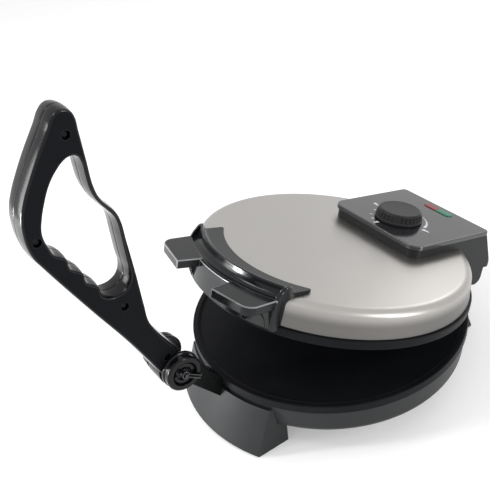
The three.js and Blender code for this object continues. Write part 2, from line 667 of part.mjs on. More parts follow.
function rearFoot() {
  const foot = footBlock().rotateZ(Math.PI);
  const knuckles = [-KNUCKLE_OUTER_X, KNUCKLE_INNER_X].map((x) =>
    lieAlongX(slab(knuckleOutline(), KNUCKLE_WIDTH, 0, 10)).translate(x, 0, 0));
  const pinBore = lieAlongX(rod(HINGE_PIN_RADIUS + FIT, KNUCKLE_OUTER_X * 2 + OVERRUN * 2))
    .translate(-KNUCKLE_OUTER_X - OVERRUN, HINGE_Y, LID_Z);
  const glandBore = lieAlongX(rod(GLAND_RADIUS + FIT, OVERRUN * 2 + FOOT_WALL, 14))
    .translate(-FOOT_HALF_WIDTH - OVERRUN, glandY, glandZ);
  const bores = rearScrewSpots.map(([x, y]) => screwBore().translate(x, y, footPlateBottom));
  const plateSpace = turned([
    [0, SHELL_TOP],
    [RIM_RADIUS + FIT, SHELL_TOP],
    [RIM_RADIUS + FIT, LID_Z + OVERRUN],
    [0, LID_Z + OVERRUN],
  ]);
  return cut(fuse(foot, ...knuckles), shellSpace(), plateSpace, pinBore, glandBore, ...bores);
}

// The bush that a cord would come in through, in the rear foot's end wall
function cordGland() {
  const collar = GLAND_RADIUS + GLAND_COLLAR;
  return lieAlongX(turnedRing([
    [GLAND_BORE, 0],
    [collar - EDGE_ROUND, 0],
    [collar, EDGE_ROUND],
    [collar, GLAND_COLLAR],
    [GLAND_RADIUS, GLAND_COLLAR],
    [GLAND_RADIUS, GLAND_LENGTH],
    [GLAND_BORE, GLAND_LENGTH],
  ], 10));
}

function footPad() {
  return turned([
    [0, 0],
    [PAD_RADIUS - EDGE_ROUND, 0],
    [PAD_RADIUS, EDGE_ROUND],
    [PAD_RADIUS, PAD_THICKNESS],
    [0, PAD_THICKNESS],
  ], 12);
}

function buildFeet() {
  place(part, 'front_foot', frontFoot(), darkGrey);
  place(part, 'rear_foot', rearFoot(), darkGrey);
  const spots = [[-PAD_X, -PAD_REACH], [PAD_X, -PAD_REACH], [-PAD_X, PAD_REACH], [PAD_X, PAD_REACH]];
  spots.forEach(([x, y], i) => {
    place(part, `foot_pad_${i + 1}`, footPad(), rubber).position.set(x, y, 0);
  });
  [...frontScrewSpots, ...rearScrewSpots].forEach(([x, y], i) => {
    place(part, `foot_screw_${i + 1}`, screw(), plainSteel).position.set(x, y, footPlateBottom - FIT);
  });
  place(part, 'cord_gland', cordGland(), rubber)
    .position.set(-FOOT_HALF_WIDTH - FIT - GLAND_COLLAR, glandY, glandZ);
}

// Where a straight edge from a point touches a circle; side is +1 or -1
function tangentAngle(point, centre, radius, side) {
  const [dy, dz] = [point[0] - centre[0], point[1] - centre[1]];
  return Math.atan2(dz, dy) + side * Math.acos(radius / Math.hypot(dy, dz));
}

const hub = [HUB_Y, HUB_Z];
const armUpperBend = [-GRIP_SKIRT_RADIUS - FIT, LID_Z + FIT * 4];
const armLowerBend = [-ARM_ROOT_OUTER - FOOT_WALL, ARM_NOTCH_FLOOR + FIT];
const armUpperAngle = tangentAngle(armUpperBend, hub, ARM_HALF, 1);
const armLowerAngle = tangentAngle(armLowerBend, hub, ARM_HALF, -1);

function leverArm() {
  const shape = new THREE.Shape();
  shape.moveTo(-ARM_ROOT_INNER, SHELL_FLOOR + 2 * FIT);
  shape.lineTo(-ARM_ROOT_OUTER, SHELL_FLOOR + 2 * FIT);
  shape.lineTo(-ARM_ROOT_OUTER, ARM_NOTCH_FLOOR + FIT);
  shape.lineTo(...armLowerBend);
  shape.absarc(...hub, ARM_HALF, armLowerAngle, armUpperAngle, true);
  shape.lineTo(...armUpperBend);
  shape.lineTo(-RIM_RADIUS - 2 * FIT, LID_Z - LID_GAP);
  shape.lineTo(-RIM_RADIUS - 2 * FIT, RIM_BOTTOM - FIT);
  shape.lineTo(-ARM_ROOT_INNER, RIM_BOTTOM - FIT);
  const body = lieAlongX(slab(shape, ARM_HALF * 2, 0, 14)).translate(-ARM_HALF, 0, 0);
  const eye = lieAlongX(rod(PIVOT_RADIUS + RUNNING_FIT, ARM_HALF * 2 + OVERRUN * 2))
    .translate(-ARM_HALF - OVERRUN, ...hub);
  const bores = frontScrewSpots.map(([x, y]) => screwBore().translate(x, y, footPlateBottom));
  return cut(body, eye, ...bores);
}

// Handle: its outline is in shares of its length, along its long axis and across it

const rearEdgeShares = [
  [0.043, 0.0325], [0.064, 0.028], [0.11, 0.014], [0.149, 0.001], [0.199, -0.013], [0.24, -0.019],
  [0.3, -0.011], [0.416, 0.007], [0.542, 0.024], [0.611, 0.033], [0.645, 0.03], [0.675, 0.018],
  [0.705, 0.007], [0.745, 0.004], [0.831, 0.017], [0.917, 0.031], [0.959, 0.037], [0.98, 0.031],
  [0.995, 0.014], [0.998, -0.004], [0.988, -0.026],
];
const frontEdgeShares = [
  [0.988, -0.026], [0.959, -0.055], [0.909, -0.108], [0.86, -0.155], [0.819, -0.19], [0.78, -0.215],
  [0.735, -0.23], [0.694, -0.237], [0.655, -0.236], [0.62, -0.227],
];
const hubFrontShare = [0.02, -0.05];
const openingShares = [
  [0.424, -0.11], [0.405, -0.096], [0.396, -0.073], [0.396, -0.05], [0.406, -0.03], [0.43, -0.014],
  [0.478, -0.006], [0.52, 0.001], [0.561, 0.008], [0.6, 0.0145], [0.632, 0.014], [0.66, 0.005],
  [0.692, -0.007], [0.719, -0.0135], [0.755, -0.015], [0.8, -0.009], [0.835, -0.004], [0.855, -0.009],
  [0.863, -0.024], [0.861, -0.042], [0.85, -0.065], [0.824, -0.1], [0.781, -0.136], [0.745, -0.16],
  [0.715, -0.175], [0.69, -0.18], [0.66, -0.179], [0.635, -0.176],
];
const scallopDepthShare = 0.013;
const FINGER_SCALLOPS = 3;
const handleScrewShares = [[0.926, -0.009], [0.695, -0.204], [0.343, -0.069], [0.072, -0.019]];

// A point of the handle in the Y-Z plane, from shares of its length
function handlePoint([along, across]) {
  const u = along * HANDLE_LENGTH;
  const v = across * HANDLE_LENGTH;
  return new THREE.Vector2(
    HUB_Y - u * Math.sin(HANDLE_LEAN) + v * Math.cos(HANDLE_LEAN),
    HUB_Z + u * Math.cos(HANDLE_LEAN) + v * Math.sin(HANDLE_LEAN),
  );
}

// A smooth line through points, with so many steps between each two
function smooth(points, stepsPerSpan) {
  const curve = new THREE.CatmullRomCurve3(points.map((p) => new THREE.Vector3(p.x, p.y, 0)));
  return curve.getPoints((points.length - 1) * stepsPerSpan).map((p) => new THREE.Vector2(p.x, p.y));
}

function handleOpening() {
  const edge = openingShares.map(handlePoint);
  const from = openingShares[openingShares.length - 1];
  const to = openingShares[0];
  const steps = FINGER_SCALLOPS * 6;
  for (let i = 1; i < steps; i += 1) {
    const t = i / steps;
    const rise = scallopDepthShare * Math.sin(Math.PI * FINGER_SCALLOPS * t) ** 2;
    edge.push(handlePoint([from[0] + (to[0] - from[0]) * t, from[1] + (to[1] - from[1]) * t + rise]));
  }
  return edge;
}

function handleOutline() {
  const shape = new THREE.Shape();
  const rear = smooth(rearEdgeShares.map(handlePoint), 2);
  const front = smooth(frontEdgeShares.map(handlePoint), 2);
  const hubRear = rear[0];
  const hubFront = handlePoint(hubFrontShare);
  const angleOf = (p) => Math.atan2(p.y - HUB_Z, p.x - HUB_Y);
  shape.setFromPoints([...rear, ...front.slice(1), hubFront]);
  shape.absarc(...hub, HUB_END_RADIUS, angleOf(hubFront), angleOf(hubRear), false);
  return shape;
}

// The space in the hub that the arm sweeps as the lever swings from rest to its press
function armSweepSpace() {
  const radius = ARM_HALF + RUNNING_FIT;
  const reach = DRUM_RADIUS * 3;
  const lower = tangentAngle(armLowerBend, hub, radius, -1);
  const upper = tangentAngle(armUpperBend, hub, radius, 1) + PRESS_SWING + DEG;
  const along = (angle, turn) => [
    HUB_Y + radius * Math.cos(angle) + reach * Math.cos(angle + turn),
    HUB_Z + radius * Math.sin(angle) + reach * Math.sin(angle + turn),
  ];
  const shape = new THREE.Shape();
  shape.moveTo(HUB_Y + reach * 2, HUB_Z);
  shape.lineTo(...along(lower, Math.PI / 2));
  shape.absarc(...hub, radius, lower, upper, true);
  shape.lineTo(...along(upper, -Math.PI / 2));
  return lieAlongX(slab(shape, armSlotHalf * 2, 0, 14)).translate(-armSlotHalf, 0, 0);
}

function handleHalves() {
  const whole = slab(handleOutline(), HANDLE_HALF * 2, HANDLE_EDGE, 8, 2);
  const window = slab(new THREE.Shape(handleOpening()), HANDLE_HALF * 2 + OVERRUN * 2);
  const drum = lieAlongX(rod(DRUM_RADIUS, armSlotHalf * 2, 28)).translate(-armSlotHalf, ...hub);
  const shell = fuse(lieAlongX(whole).translate(-HANDLE_HALF, 0, 0), drum);
  const pivot = lieAlongX(rod(PIVOT_RADIUS + FIT, HANDLE_HALF * 2 + OVERRUN * 2))
    .translate(-HANDLE_HALF - OVERRUN, ...hub);
  const screwSpots = handleScrewShares.map(handlePoint);
  const recesses = screwSpots.map((p) =>
    lieAlongX(rod(SCREW_HEAD_RADIUS + FIT, HANDLE_SCREW_RECESS + OVERRUN, 10))
      .translate(HANDLE_HALF - HANDLE_SCREW_RECESS, p.x, p.y));
  const shankReach = SCREW_LENGTH + 2 * FIT;
  const shanks = screwSpots.map((p) =>
    lieAlongX(rod(SCREW_RADIUS + FIT, shankReach, SCREW_STEPS))
      .translate(HANDLE_HALF - HANDLE_SCREW_RECESS + FIT - shankReach, p.x, p.y));
  const body = cut(
    shell,
    lieAlongX(window).translate(-HANDLE_HALF - OVERRUN, 0, 0),
    armSweepSpace(), pivot, ...recesses, ...shanks,
  );
  const far = HANDLE_LENGTH * 2;
  return {
    right: common(body, block(FIT / 2, far, -far * 2, far, -far, far * 2)),
    left: common(body, block(-far, -FIT / 2, -far * 2, far, -far, far * 2)),
    screwSpots,
  };
}

// The stepped cap over one end of the pivot, from x = 0 outwards; two raised pads stand in its recess
function hubCap() {
  const face = CAP_RADIUS - CAP_STEP * 2;
  const floor = CAP_DEPTH - CAP_RECESS_DEPTH;
  const bore = PIVOT_RADIUS + FIT;
  const padReach = CAP_RECESS_RADIUS - CAP_STEP - CAP_PAD_GAP;
  const pads = [-1, 1].map((side) => {
    const middle = CLIP_TURN + side * Math.PI / 2;
    return sector([
      [CAP_BOSS_RADIUS - CAP_STEP, floor - CAP_STEP],
      [padReach, floor - CAP_STEP],
      [padReach, CAP_DEPTH - CAP_PAD_DROP],
      [CAP_BOSS_RADIUS - CAP_STEP, CAP_DEPTH - CAP_PAD_DROP],
    ], middle - CAP_PAD_SWEEP / 2, middle + CAP_PAD_SWEEP / 2, 6);
  });
  const cap = turnedRing([
    [bore, 0],
    [CAP_RADIUS, 0],
    [CAP_RADIUS, CAP_DEPTH * 0.24],
    [face, CAP_DEPTH * 0.3],
    [face, CAP_DEPTH * 0.38],
    [CAP_RADIUS - CAP_STEP, CAP_DEPTH * 0.44],
    [CAP_RADIUS - CAP_STEP, CAP_DEPTH - CAP_STEP * 2],
    [face - CAP_STEP, CAP_DEPTH],
    [CAP_RECESS_RADIUS, CAP_DEPTH],
    [CAP_RECESS_RADIUS - CAP_STEP, floor],
    [CAP_BOSS_RADIUS, floor],
    [CAP_BOSS_RADIUS, floor + CAP_RECESS_DEPTH / 3],
    [bore, floor + CAP_RECESS_DEPTH / 3],
  ], 16);
  return lieAlongX(fuse(cap, ...pads));
}

const capInnerX = HANDLE_HALF + FIT;
const capFaceX = capInnerX + CAP_DEPTH;
const clipX = capFaceX + FIT + CLIP_WIRE_RADIUS;
const pinShoulderX = capFaceX - CAP_RECESS_DEPTH * 0.6;

// The pivot pin, from its plain left end to the nub that the clip holds
function pivotPin() {
  return lieAlongX(turned([
    [0, -pinShoulderX],
    [PIVOT_RADIUS - EDGE_ROUND, -pinShoulderX],
    [PIVOT_RADIUS, -pinShoulderX + EDGE_ROUND],
    [PIVOT_RADIUS, pinShoulderX],
    [NUB_RADIUS, pinShoulderX],
    [NUB_RADIUS, clipX + CLIP_WIRE_RADIUS * 1.6],
    [0, clipX + CLIP_WIRE_RADIUS * 1.6],
  ], 16));
}

// A hairpin of wire: a loop round the pin's nub, and two straight legs to pull it by
function retainingClip() {
  const loopRadius = NUB_RADIUS + FIT + CLIP_WIRE_RADIUS;
  const legY = CLIP_WIRE_RADIUS + CLIP_LEG_GAP / 2;
  const opening = Math.asin(legY / loopRadius);
  const steps = 12;
  const loop = Array.from({ length: steps + 1 }, (_, i) => {
    const angle = opening + (2 * Math.PI - 2 * opening) * i / steps;
    return new THREE.Vector3(loopRadius * Math.cos(angle), loopRadius * Math.sin(angle), 0);
  });
  const legEnd = (side) => new THREE.Vector3(CLIP_REACH, side * legY, 0);
  return lieAlongX(wire([legEnd(1), ...loop, legEnd(-1)], CLIP_WIRE_RADIUS, 6));
}

function buildLever() {
  place(part, 'lever_arm', leverArm(), satinBlack);
  const halves = handleHalves();
  place(part, 'handle_right_half', halves.right, glossBlack);
  place(part, 'handle_left_half', halves.left, glossBlack);
  halves.screwSpots.forEach((p, i) => {
    const geometry = lieAlongX(screw()).rotateY(Math.PI);
    place(part, `handle_screw_${i + 1}`, geometry, plainSteel)
      .position.set(HANDLE_HALF - HANDLE_SCREW_RECESS + FIT, p.x, p.y);
  });
  place(part, 'hub_cap_right', hubCap(), glossBlack).position.set(capInnerX, ...hub);
  place(part, 'hub_cap_left', hubCap().rotateY(Math.PI), glossBlack).position.set(-capInnerX, ...hub);
  place(part, 'pivot_pin', pivotPin(), plainSteel).position.set(0, ...hub);
  const clip = place(part, 'retaining_clip', retainingClip(), plainSteel);
  clip.position.set(clipX, ...hub);
  clip.rotation.x = CLIP_TURN;
}

// Lid: everything in it is placed with the lid shut, from the underside of its rim,
// and the group then swings it up to where it stands ajar

const lidTurn = new THREE.Group();
lidTurn.position.set(0, HINGE_Y, LID_Z);
lidTurn.rotation.x = -LID_AJAR;
const lid = new THREE.Group();
lid.position.y = -HINGE_Y;
lidTurn.add(lid);
part.add(lidTurn);

// The dome's outer line, from its bottom edge to the middle of its flat top
const domeLine = (shoulderSteps) => [
  [DOME_BASE_RADIUS, DOME_BOTTOM],
  ...Array.from({ length: shoulderSteps + 1 }, (_, i) => {
    const angle = Math.PI / 2 * i / shoulderSteps;
    return [
      DOME_FLAT_RADIUS + DOME_SHOULDER * Math.cos(angle),
      DOME_CREASE_HEIGHT + DOME_SHOULDER_RISE * Math.sin(angle),
    ];
  }),
  [0, DOME_HEIGHT],
];
const domeOutline = domeLine(4);

// A line of [radius, height] points moved sideways, outwards where distance is positive
function offsetLine(points, distance) {
  return points.map((point, i) => {
    const before = points[Math.max(i - 1, 0)];
    const after = points[Math.min(i + 1, points.length - 1)];
    const [dr, dz] = [after[0] - before[0], after[1] - before[1]];
    const length = Math.hypot(dr, dz);
    return [Math.max(0, point[0] + distance * dz / length), point[1] - distance * dr / length];
  });
}

const gripScrewSpots = [-1, 1].map((side) => [
  side * GRIP_SCREW_RADIUS * Math.sin(GRIP_SCREW_ANGLE),
  -GRIP_SCREW_RADIUS * Math.cos(GRIP_SCREW_ANGLE),
]);
const boxBoss = SCREW_HEAD_RADIUS * 2 + FIT;
const boxScrewSpots = [-1, 1].map((side) =>
  [side * (BOX_HALF_WIDTH - boxBoss), PANEL_FRONT_Y + PANEL_FRONT_CORNER + boxBoss]);
const domeInside = DOME_HEIGHT - DOME_WALL;
const lidScrewLength = DOME_WALL + FIT + SCREW_RADIUS * 1.2;

function lidDome() {
  const inner = offsetLine(domeLine(2), -DOME_WALL);
  inner[0] = [DOME_BASE_RADIUS - DOME_WALL, DOME_BOTTOM];
  const shell = turned([...domeOutline.slice().reverse(), ...inner]);
  const bores = [...gripScrewSpots, ...boxScrewSpots].map(([x, y]) =>
    screwBore(DOME_WALL + OVERRUN).translate(x, y, domeInside));
  const wireSlot = block(
    -DOME_SLOT_WIDTH / 2, DOME_SLOT_WIDTH / 2,
    KNOB_Y + THERMOSTAT_DEPTH, KNOB_Y + THERMOSTAT_DEPTH + DOME_SLOT_DEPTH,
    domeInside - OVERRUN, DOME_HEIGHT + OVERRUN,
  );
  return cut(shell, wireSlot, ...bores);
}

function upperPlate() {
  const ledge = LID_RIM_RADIUS - RIM_LEDGE;
  return turned([
    [0, LID_COOK_RISE],
    [ledge - COOK_FACE_DROP / 2, LID_COOK_RISE],
    [ledge + COOK_FACE_DROP / 2, 0],
    [LID_RIM_RADIUS - EDGE_ROUND, 0],
    [LID_RIM_RADIUS, EDGE_ROUND],
    [LID_RIM_RADIUS, LID_RIM_HEIGHT - EDGE_ROUND],
    [LID_RIM_RADIUS - EDGE_ROUND, LID_RIM_HEIGHT],
    [ledge, LID_RIM_HEIGHT],
    [ledge, LID_COOK_TOP],
    [0, LID_COOK_TOP],
  ]);
}

// The space that the dome and the plate under it take up, with clearance
function lidSpace(clearance) {
  const rim = LID_RIM_RADIUS + clearance;
  const line = offsetLine(domeOutline, clearance);
  const top = DOME_BOTTOM + clearance;
  line[0] = [line[0][0], top];
  return turned([[0, -EAR_DROP - OVERRUN], [rim, -EAR_DROP - OVERRUN], [rim, top], ...line]);
}

function gripBody() {
  const skirtTop = DOME_HEIGHT;
  const under = offsetLine(domeOutline, GRIP_CLEARANCE).slice(0, -1);
  const rim = LID_RIM_RADIUS + GRIP_CLEARANCE;
  const step = DOME_BOTTOM + GRIP_CLEARANCE;
  under[0] = [under[0][0], step];
  const fenceFoot = GRIP_SKIRT_RADIUS - FENCE_THICKNESS;
  const fenceIn = FENCE_RADIUS - FENCE_THICKNESS;
  const rise = FENCE_TOP - skirtTop;
  const flangeTop = skirtTop + GRIP_CLEARANCE + FLANGE_EDGE;
  return [
    [rim, GRIP_SKIRT_BOTTOM],
    [GRIP_SKIRT_RADIUS, GRIP_SKIRT_BOTTOM],
    [GRIP_SKIRT_RADIUS, skirtTop],
    [fenceFoot, skirtTop],
    [FENCE_RADIUS + (fenceFoot - FENCE_RADIUS) * 0.5, skirtTop + rise * 0.25],
    [FENCE_RADIUS + (fenceFoot - FENCE_RADIUS) * 0.2, skirtTop + rise * 0.6],
    [FENCE_RADIUS, FENCE_TOP - EDGE_ROUND],
    [FENCE_RADIUS - EDGE_ROUND, FENCE_TOP],
    [fenceIn, FENCE_TOP - EDGE_ROUND],
    [fenceIn - FENCE_THICKNESS * 0.6, skirtTop + rise * 0.5],
    [fenceIn - FENCE_THICKNESS * 2.2, flangeTop + FLANGE_EDGE],
    [FLANGE_RADIUS + FENCE_THICKNESS * 3, flangeTop + FLANGE_EDGE * 0.4],
    [FLANGE_RADIUS, flangeTop],
    [FLANGE_RADIUS, skirtTop + GRIP_CLEARANCE],
    ...under.reverse(),
    [rim, step],
  ];
}

function lug(side) {
  const rear = GRIP_SKIRT_RADIUS - LUG_EDGE * 1.5;
  const rearAngle = (x) => Math.atan2(-Math.sqrt(rear * rear - x * x), x);
  const middle = (LUG_OUTER_HALF_GAP + LUG_OUTER_X) / 2;
  const shoulder = (LUG_REACH + rear) / 2;
  const shape = new THREE.Shape();
  shape.moveTo(LUG_OUTER_HALF_GAP, -LUG_REACH);
  shape.quadraticCurveTo(middle, -LUG_REACH, LUG_OUTER_X - LUG_EDGE * 5, -shoulder);
  shape.quadraticCurveTo(LUG_OUTER_X, -shoulder + LUG_EDGE * 4, LUG_OUTER_X, -shoulder + LUG_EDGE * 9);
  shape.absarc(0, 0, rear, rearAngle(LUG_OUTER_X), rearAngle(LUG_INNER_HALF_GAP), true);
  const body = slab(shape, LUG_THICKNESS, LUG_EDGE, 6)
    .translate(0, 0, DOME_HEIGHT - LUG_THICKNESS);
  const from = Math.asin(GUSSET_INNER_X / GRIP_SKIRT_RADIUS) - Math.PI / 2;
  const to = Math.asin(GRIP_HALF_WIDTH / GRIP_SKIRT_RADIUS) - Math.PI / 2;
  const gusset = sector([
    [rear, GUSSET_BOTTOM],
    [GRIP_SKIRT_RADIUS - FIT, GUSSET_BOTTOM],
    [GUSSET_RADIUS, DOME_HEIGHT - LUG_THICKNESS + LUG_EDGE],
    [rear, DOME_HEIGHT - LUG_THICKNESS + LUG_EDGE],
  ], from, to, 4);
  const both = fuse(body, gusset);
  return side > 0 ? both : clean(both.scale(-1, 1, 1));
}

// The bar that stiffens the skirt between the lugs
function notchLedge() {
  const sweep = Math.asin(LUG_OUTER_HALF_GAP / GRIP_SKIRT_RADIUS);
  const rear = GRIP_SKIRT_RADIUS - LUG_EDGE;
  const front = GRIP_SKIRT_RADIUS + LEDGE_PROUD;
  const bottom = DOME_HEIGHT - LUG_THICKNESS;
  const top = DOME_HEIGHT - LEDGE_DROP;
  return sector([
    [rear, bottom],
    [front - LUG_EDGE, bottom],
    [front, bottom + LUG_EDGE],
    [front, top - LUG_EDGE / 2],
    [front - LUG_EDGE / 2, top],
    [rear, top],
  ], -Math.PI / 2 - sweep, -Math.PI / 2 + sweep, 6);
}

// The web that fills the curve between fence and skirt at one end of the grip
function fenceWeb(side) {
  const x = side * (GRIP_HALF_WIDTH - FENCE_WEB / 2);
  const angle = Math.asin(GRIP_HALF_WIDTH / GRIP_SKIRT_RADIUS);
  const middle = side > 0 ? angle - Math.PI / 2 : -angle - Math.PI / 2;
  return common(
    sector([
      [FENCE_RADIUS - FENCE_THICKNESS, DOME_HEIGHT - LUG_EDGE],
      [GRIP_SKIRT_RADIUS, DOME_HEIGHT - LUG_EDGE],
      [GRIP_SKIRT_RADIUS, DOME_HEIGHT + LUG_EDGE],
      [FENCE_RADIUS, FENCE_TOP + EDGE_ROUND],
      [FENCE_RADIUS - FENCE_THICKNESS, FENCE_TOP + EDGE_ROUND],
    ], middle - angle / 4, middle + angle / 4, 4),
    block(
      x - FENCE_WEB / 2, x + FENCE_WEB / 2,
      -LUG_REACH, 0, DOME_HEIGHT - LUG_THICKNESS, FENCE_TOP + OVERRUN,
    ),
  );
}

function frontGrip() {
  const down = -Math.PI / 2;
  const body = common(
    sector(gripBody(), down - GRIP_SWEEP, down + GRIP_SWEEP, 12),
    block(-GRIP_HALF_WIDTH, GRIP_HALF_WIDTH, -LUG_REACH, 0, 0, FENCE_TOP + OVERRUN),
  );
  const bores = gripScrewSpots.map(([x, y]) =>
    screwBore(lidScrewLength).translate(x, y, domeInside - FIT));
  return cut(fuse(body, lug(-1), lug(1), notchLedge(), fenceWeb(-1), fenceWeb(1)), ...bores);
}

// Control box: an open-topped shell on the dome that reaches down behind it to the hinge

const earRound = EAR_WIDTH;
const earY = HINGE_Y - FIT * 3;

function boxOutline(inset) {
  const bottom = -EAR_DROP;
  const shape = new THREE.Shape();
  const slope = (BOX_REAR_REACH - PANEL_REAR_Y) / (PANEL_UNDERSIDE - BOX_REAR_BOTTOM);
  const top = PANEL_UNDERSIDE - FIT + (inset > 0 ? OVERRUN : 0);
  shape.moveTo(PANEL_FRONT_Y + BOX_INSET + inset, 0);
  shape.lineTo(PANEL_FRONT_Y + BOX_INSET + inset, top);
  shape.lineTo(PANEL_REAR_Y - inset - (top - PANEL_UNDERSIDE) * slope, top);
  shape.lineTo(BOX_REAR_REACH - inset, BOX_REAR_BOTTOM);
  if (inset > 0) {
    shape.lineTo(BOX_REAR_REACH - inset, bottom - OVERRUN);
    shape.lineTo(PANEL_FRONT_Y + BOX_INSET + inset, bottom - OVERRUN);
    return shape;
  }
  shape.lineTo(earY + earRound + FIT, BOX_REAR_BOTTOM);
  shape.absarc(earY, bottom + earRound, earRound, 0, -Math.PI, true);
  shape.lineTo(earY - earRound, 0);
  return shape;
}

function controlBox() {
  const outer = lieAlongX(slab(boxOutline(0), BOX_HALF_WIDTH * 2)).translate(-BOX_HALF_WIDTH, 0, 0);
  const plan = slab(rectangle(
    BOX_HALF_WIDTH, PANEL_FRONT_Y + BOX_INSET, BOX_REAR_REACH,
    PANEL_FRONT_CORNER - BOX_INSET, PANEL_REAR_CORNER,
  ), PANEL_TOP + EAR_DROP * 2).translate(0, 0, -EAR_DROP * 2);
  const innerPlan = slab(rectangle(
    BOX_HALF_WIDTH - BOX_WALL, PANEL_FRONT_Y + BOX_INSET + BOX_WALL, BOX_REAR_REACH - BOX_WALL,
    PANEL_FRONT_CORNER - BOX_INSET - BOX_WALL, PANEL_REAR_CORNER - BOX_WALL,
  ), PANEL_TOP * 2 + EAR_DROP * 2).translate(0, 0, -EAR_DROP * 2);
  const middle = common(
    lieAlongX(slab(boxOutline(BOX_WALL), EAR_INNER_X * 2)).translate(-EAR_INNER_X, 0, 0),
    innerPlan,
  );
  const wide = common(
    lieAlongX(slab(boxOutline(BOX_WALL), (BOX_HALF_WIDTH - BOX_WALL) * 2))
      .translate(-BOX_HALF_WIDTH + BOX_WALL, 0, 0),
    innerPlan,
    block(
      -BOX_HALF_WIDTH, BOX_HALF_WIDTH, 0, BOX_REAR_REACH,
      KNUCKLE_RADIUS + BOX_WALL, PANEL_TOP + OVERRUN,
    ),
  );
  const ribTop = DOME_HEIGHT;
  const ribY0 = HINGE_Y - REST_RIB_REACH;
  const ribY1 = HINGE_Y - YOKE_BARREL_RADIUS - REST_RIB_GAP;
  const seat = YOKE_TONGUE / 2 + FIT;
  const crossWall = block(
    -BOX_HALF_WIDTH + BOX_WALL / 2, BOX_HALF_WIDTH - BOX_WALL / 2,
    ribY0, ribY1, KNUCKLE_RADIUS + EDGE_ROUND * 2, ribTop,
  );
  const restRib = block(
    -YOKE_HALF - YOKE_TONGUE, YOKE_HALF + YOKE_TONGUE,
    ribY0, ribY1, seat, KNUCKLE_RADIUS + BOX_WALL,
  );
  const bosses = boxScrewSpots.map(([x, y]) => block(
    Math.min(x - boxBoss / 2, x * BOX_HALF_WIDTH / Math.abs(x)),
    Math.max(x + boxBoss / 2, x * BOX_HALF_WIDTH / Math.abs(x)),
    y - boxBoss / 2, y + boxBoss / 2, 0, PANEL_UNDERSIDE - FIT - BOX_WALL,
  ));
  const walls = cut(common(outer, plan), middle, wide);
  const pinLength = (BOX_HALF_WIDTH - BOX_WALL) * 2;
  const pinBore = lieAlongX(rod(HINGE_PIN_RADIUS + RUNNING_FIT, pinLength)).translate(-pinLength / 2, HINGE_Y, 0);
  const bores = boxScrewSpots.map(([x, y]) =>
    screwBore(lidScrewLength).translate(x, y, domeInside - FIT));
  const inside = common(fuse(crossWall, restRib, ...bosses), plan, outer);
  return cut(fuse(walls, inside), lidSpace(FIT), pinBore, ...bores);
}

const lensSlot = (clearance) => {
  const radius = LENS_WIDTH / 2 + clearance;
  const reach = LENS_LENGTH / 2 - LENS_WIDTH / 2;
  const shape = new THREE.Shape();
  shape.absarc(reach, LENS_Y, radius, -Math.PI / 2, Math.PI / 2);
  shape.absarc(-reach, LENS_Y, radius, Math.PI / 2, Math.PI * 1.5);
  return shape;
};

function controlPanel() {
  const plate = slab(rectangle(
    PANEL_HALF_WIDTH, PANEL_FRONT_Y, PANEL_REAR_Y, PANEL_FRONT_CORNER, PANEL_REAR_CORNER,
  ), PANEL_THICKNESS, PANEL_EDGE);
  const slot = slab(lensSlot(FIT), PANEL_THICKNESS + OVERRUN * 2).translate(0, 0, -OVERRUN);
  const shaftHole = rod(SHAFT_RADIUS + RUNNING_FIT, PANEL_THICKNESS + OVERRUN * 2)
    .translate(0, KNOB_Y, -OVERRUN);
  return cut(plate, slot, shaftHole);
}

// Half of the lens strip: side -1 is red, +1 is green
function lens(side) {
  const strip = slab(lensSlot(0), PANEL_THICKNESS + LENS_PROUD, PANEL_EDGE);
  const half = block(FIT / 2, LENS_LENGTH, LENS_Y - LENS_WIDTH, LENS_Y + LENS_WIDTH, -OVERRUN, PANEL_TOP);
  return common(strip, side > 0 ? half : half.rotateY(Math.PI).translate(0, 0, PANEL_TOP));
}

function knob() {
  const perRib = 4;
  const count = KNOB_RIBS * perRib;
  const levels = [
    [KNOB_RADIUS, 0, 0],
    [KNOB_RADIUS, 0.2, 0.16],
    [KNOB_TOP_RADIUS + KNOB_RIB_DEPTH, 1, 0.86],
    [KNOB_TOP_RADIUS - KNOB_RIB_DEPTH * 1.5, 0, 1],
  ];
  const rings = levels.map(([radius, ribbing, heightShare]) =>
    Array.from({ length: count }, (_, i) => {
      const groove = i % perRib < perRib / 2 ? 0 : 1;
      const r = radius - ribbing * groove * KNOB_RIB_DEPTH;
      const angle = 2 * Math.PI * i / count;
      return new THREE.Vector3(r * Math.cos(angle), r * Math.sin(angle), heightShare * KNOB_HEIGHT);
    }));
  const socket = rod(SHAFT_RADIUS + FIT, KNOB_HEIGHT / 2 + OVERRUN).translate(0, 0, -OVERRUN);
  return cut(skin(rings), socket);
}

function hingeYoke() {
  const length = YOKE_HALF * 2;
  const barrel = lieAlongX(rod(YOKE_BARREL_RADIUS, length)).translate(-YOKE_HALF, 0, 0);
  const tongue = block(
    -YOKE_HALF, YOKE_HALF,
    -YOKE_TONGUE_REACH, 0,
    -YOKE_TONGUE / 2, YOKE_TONGUE / 2,
  );
  const bore = lieAlongX(rod(HINGE_PIN_RADIUS + RUNNING_FIT, length + OVERRUN * 2))
    .translate(-YOKE_HALF - OVERRUN, 0, 0);
  return cut(fuse(barrel, tongue), bore);
}

// A torsion spring round the hinge pin, starting at x = 0
function hingeSpring() {
  const radius = HINGE_PIN_RADIUS + FIT * 2 + SPRING_WIRE / 2;
  const stepsPerTurn = 8;
  const steps = SPRING_TURNS * stepsPerTurn;
  const points = Array.from({ length: steps + 1 }, (_, i) => {
    const angle = 2 * Math.PI * i / stepsPerTurn;
    const x = SPRING_WIRE / 2 + SPRING_PITCH * i / stepsPerTurn;
    return new THREE.Vector3(x, radius * Math.cos(angle), radius * Math.sin(angle));
  });
  return wire(points, SPRING_WIRE / 2, 4);
}

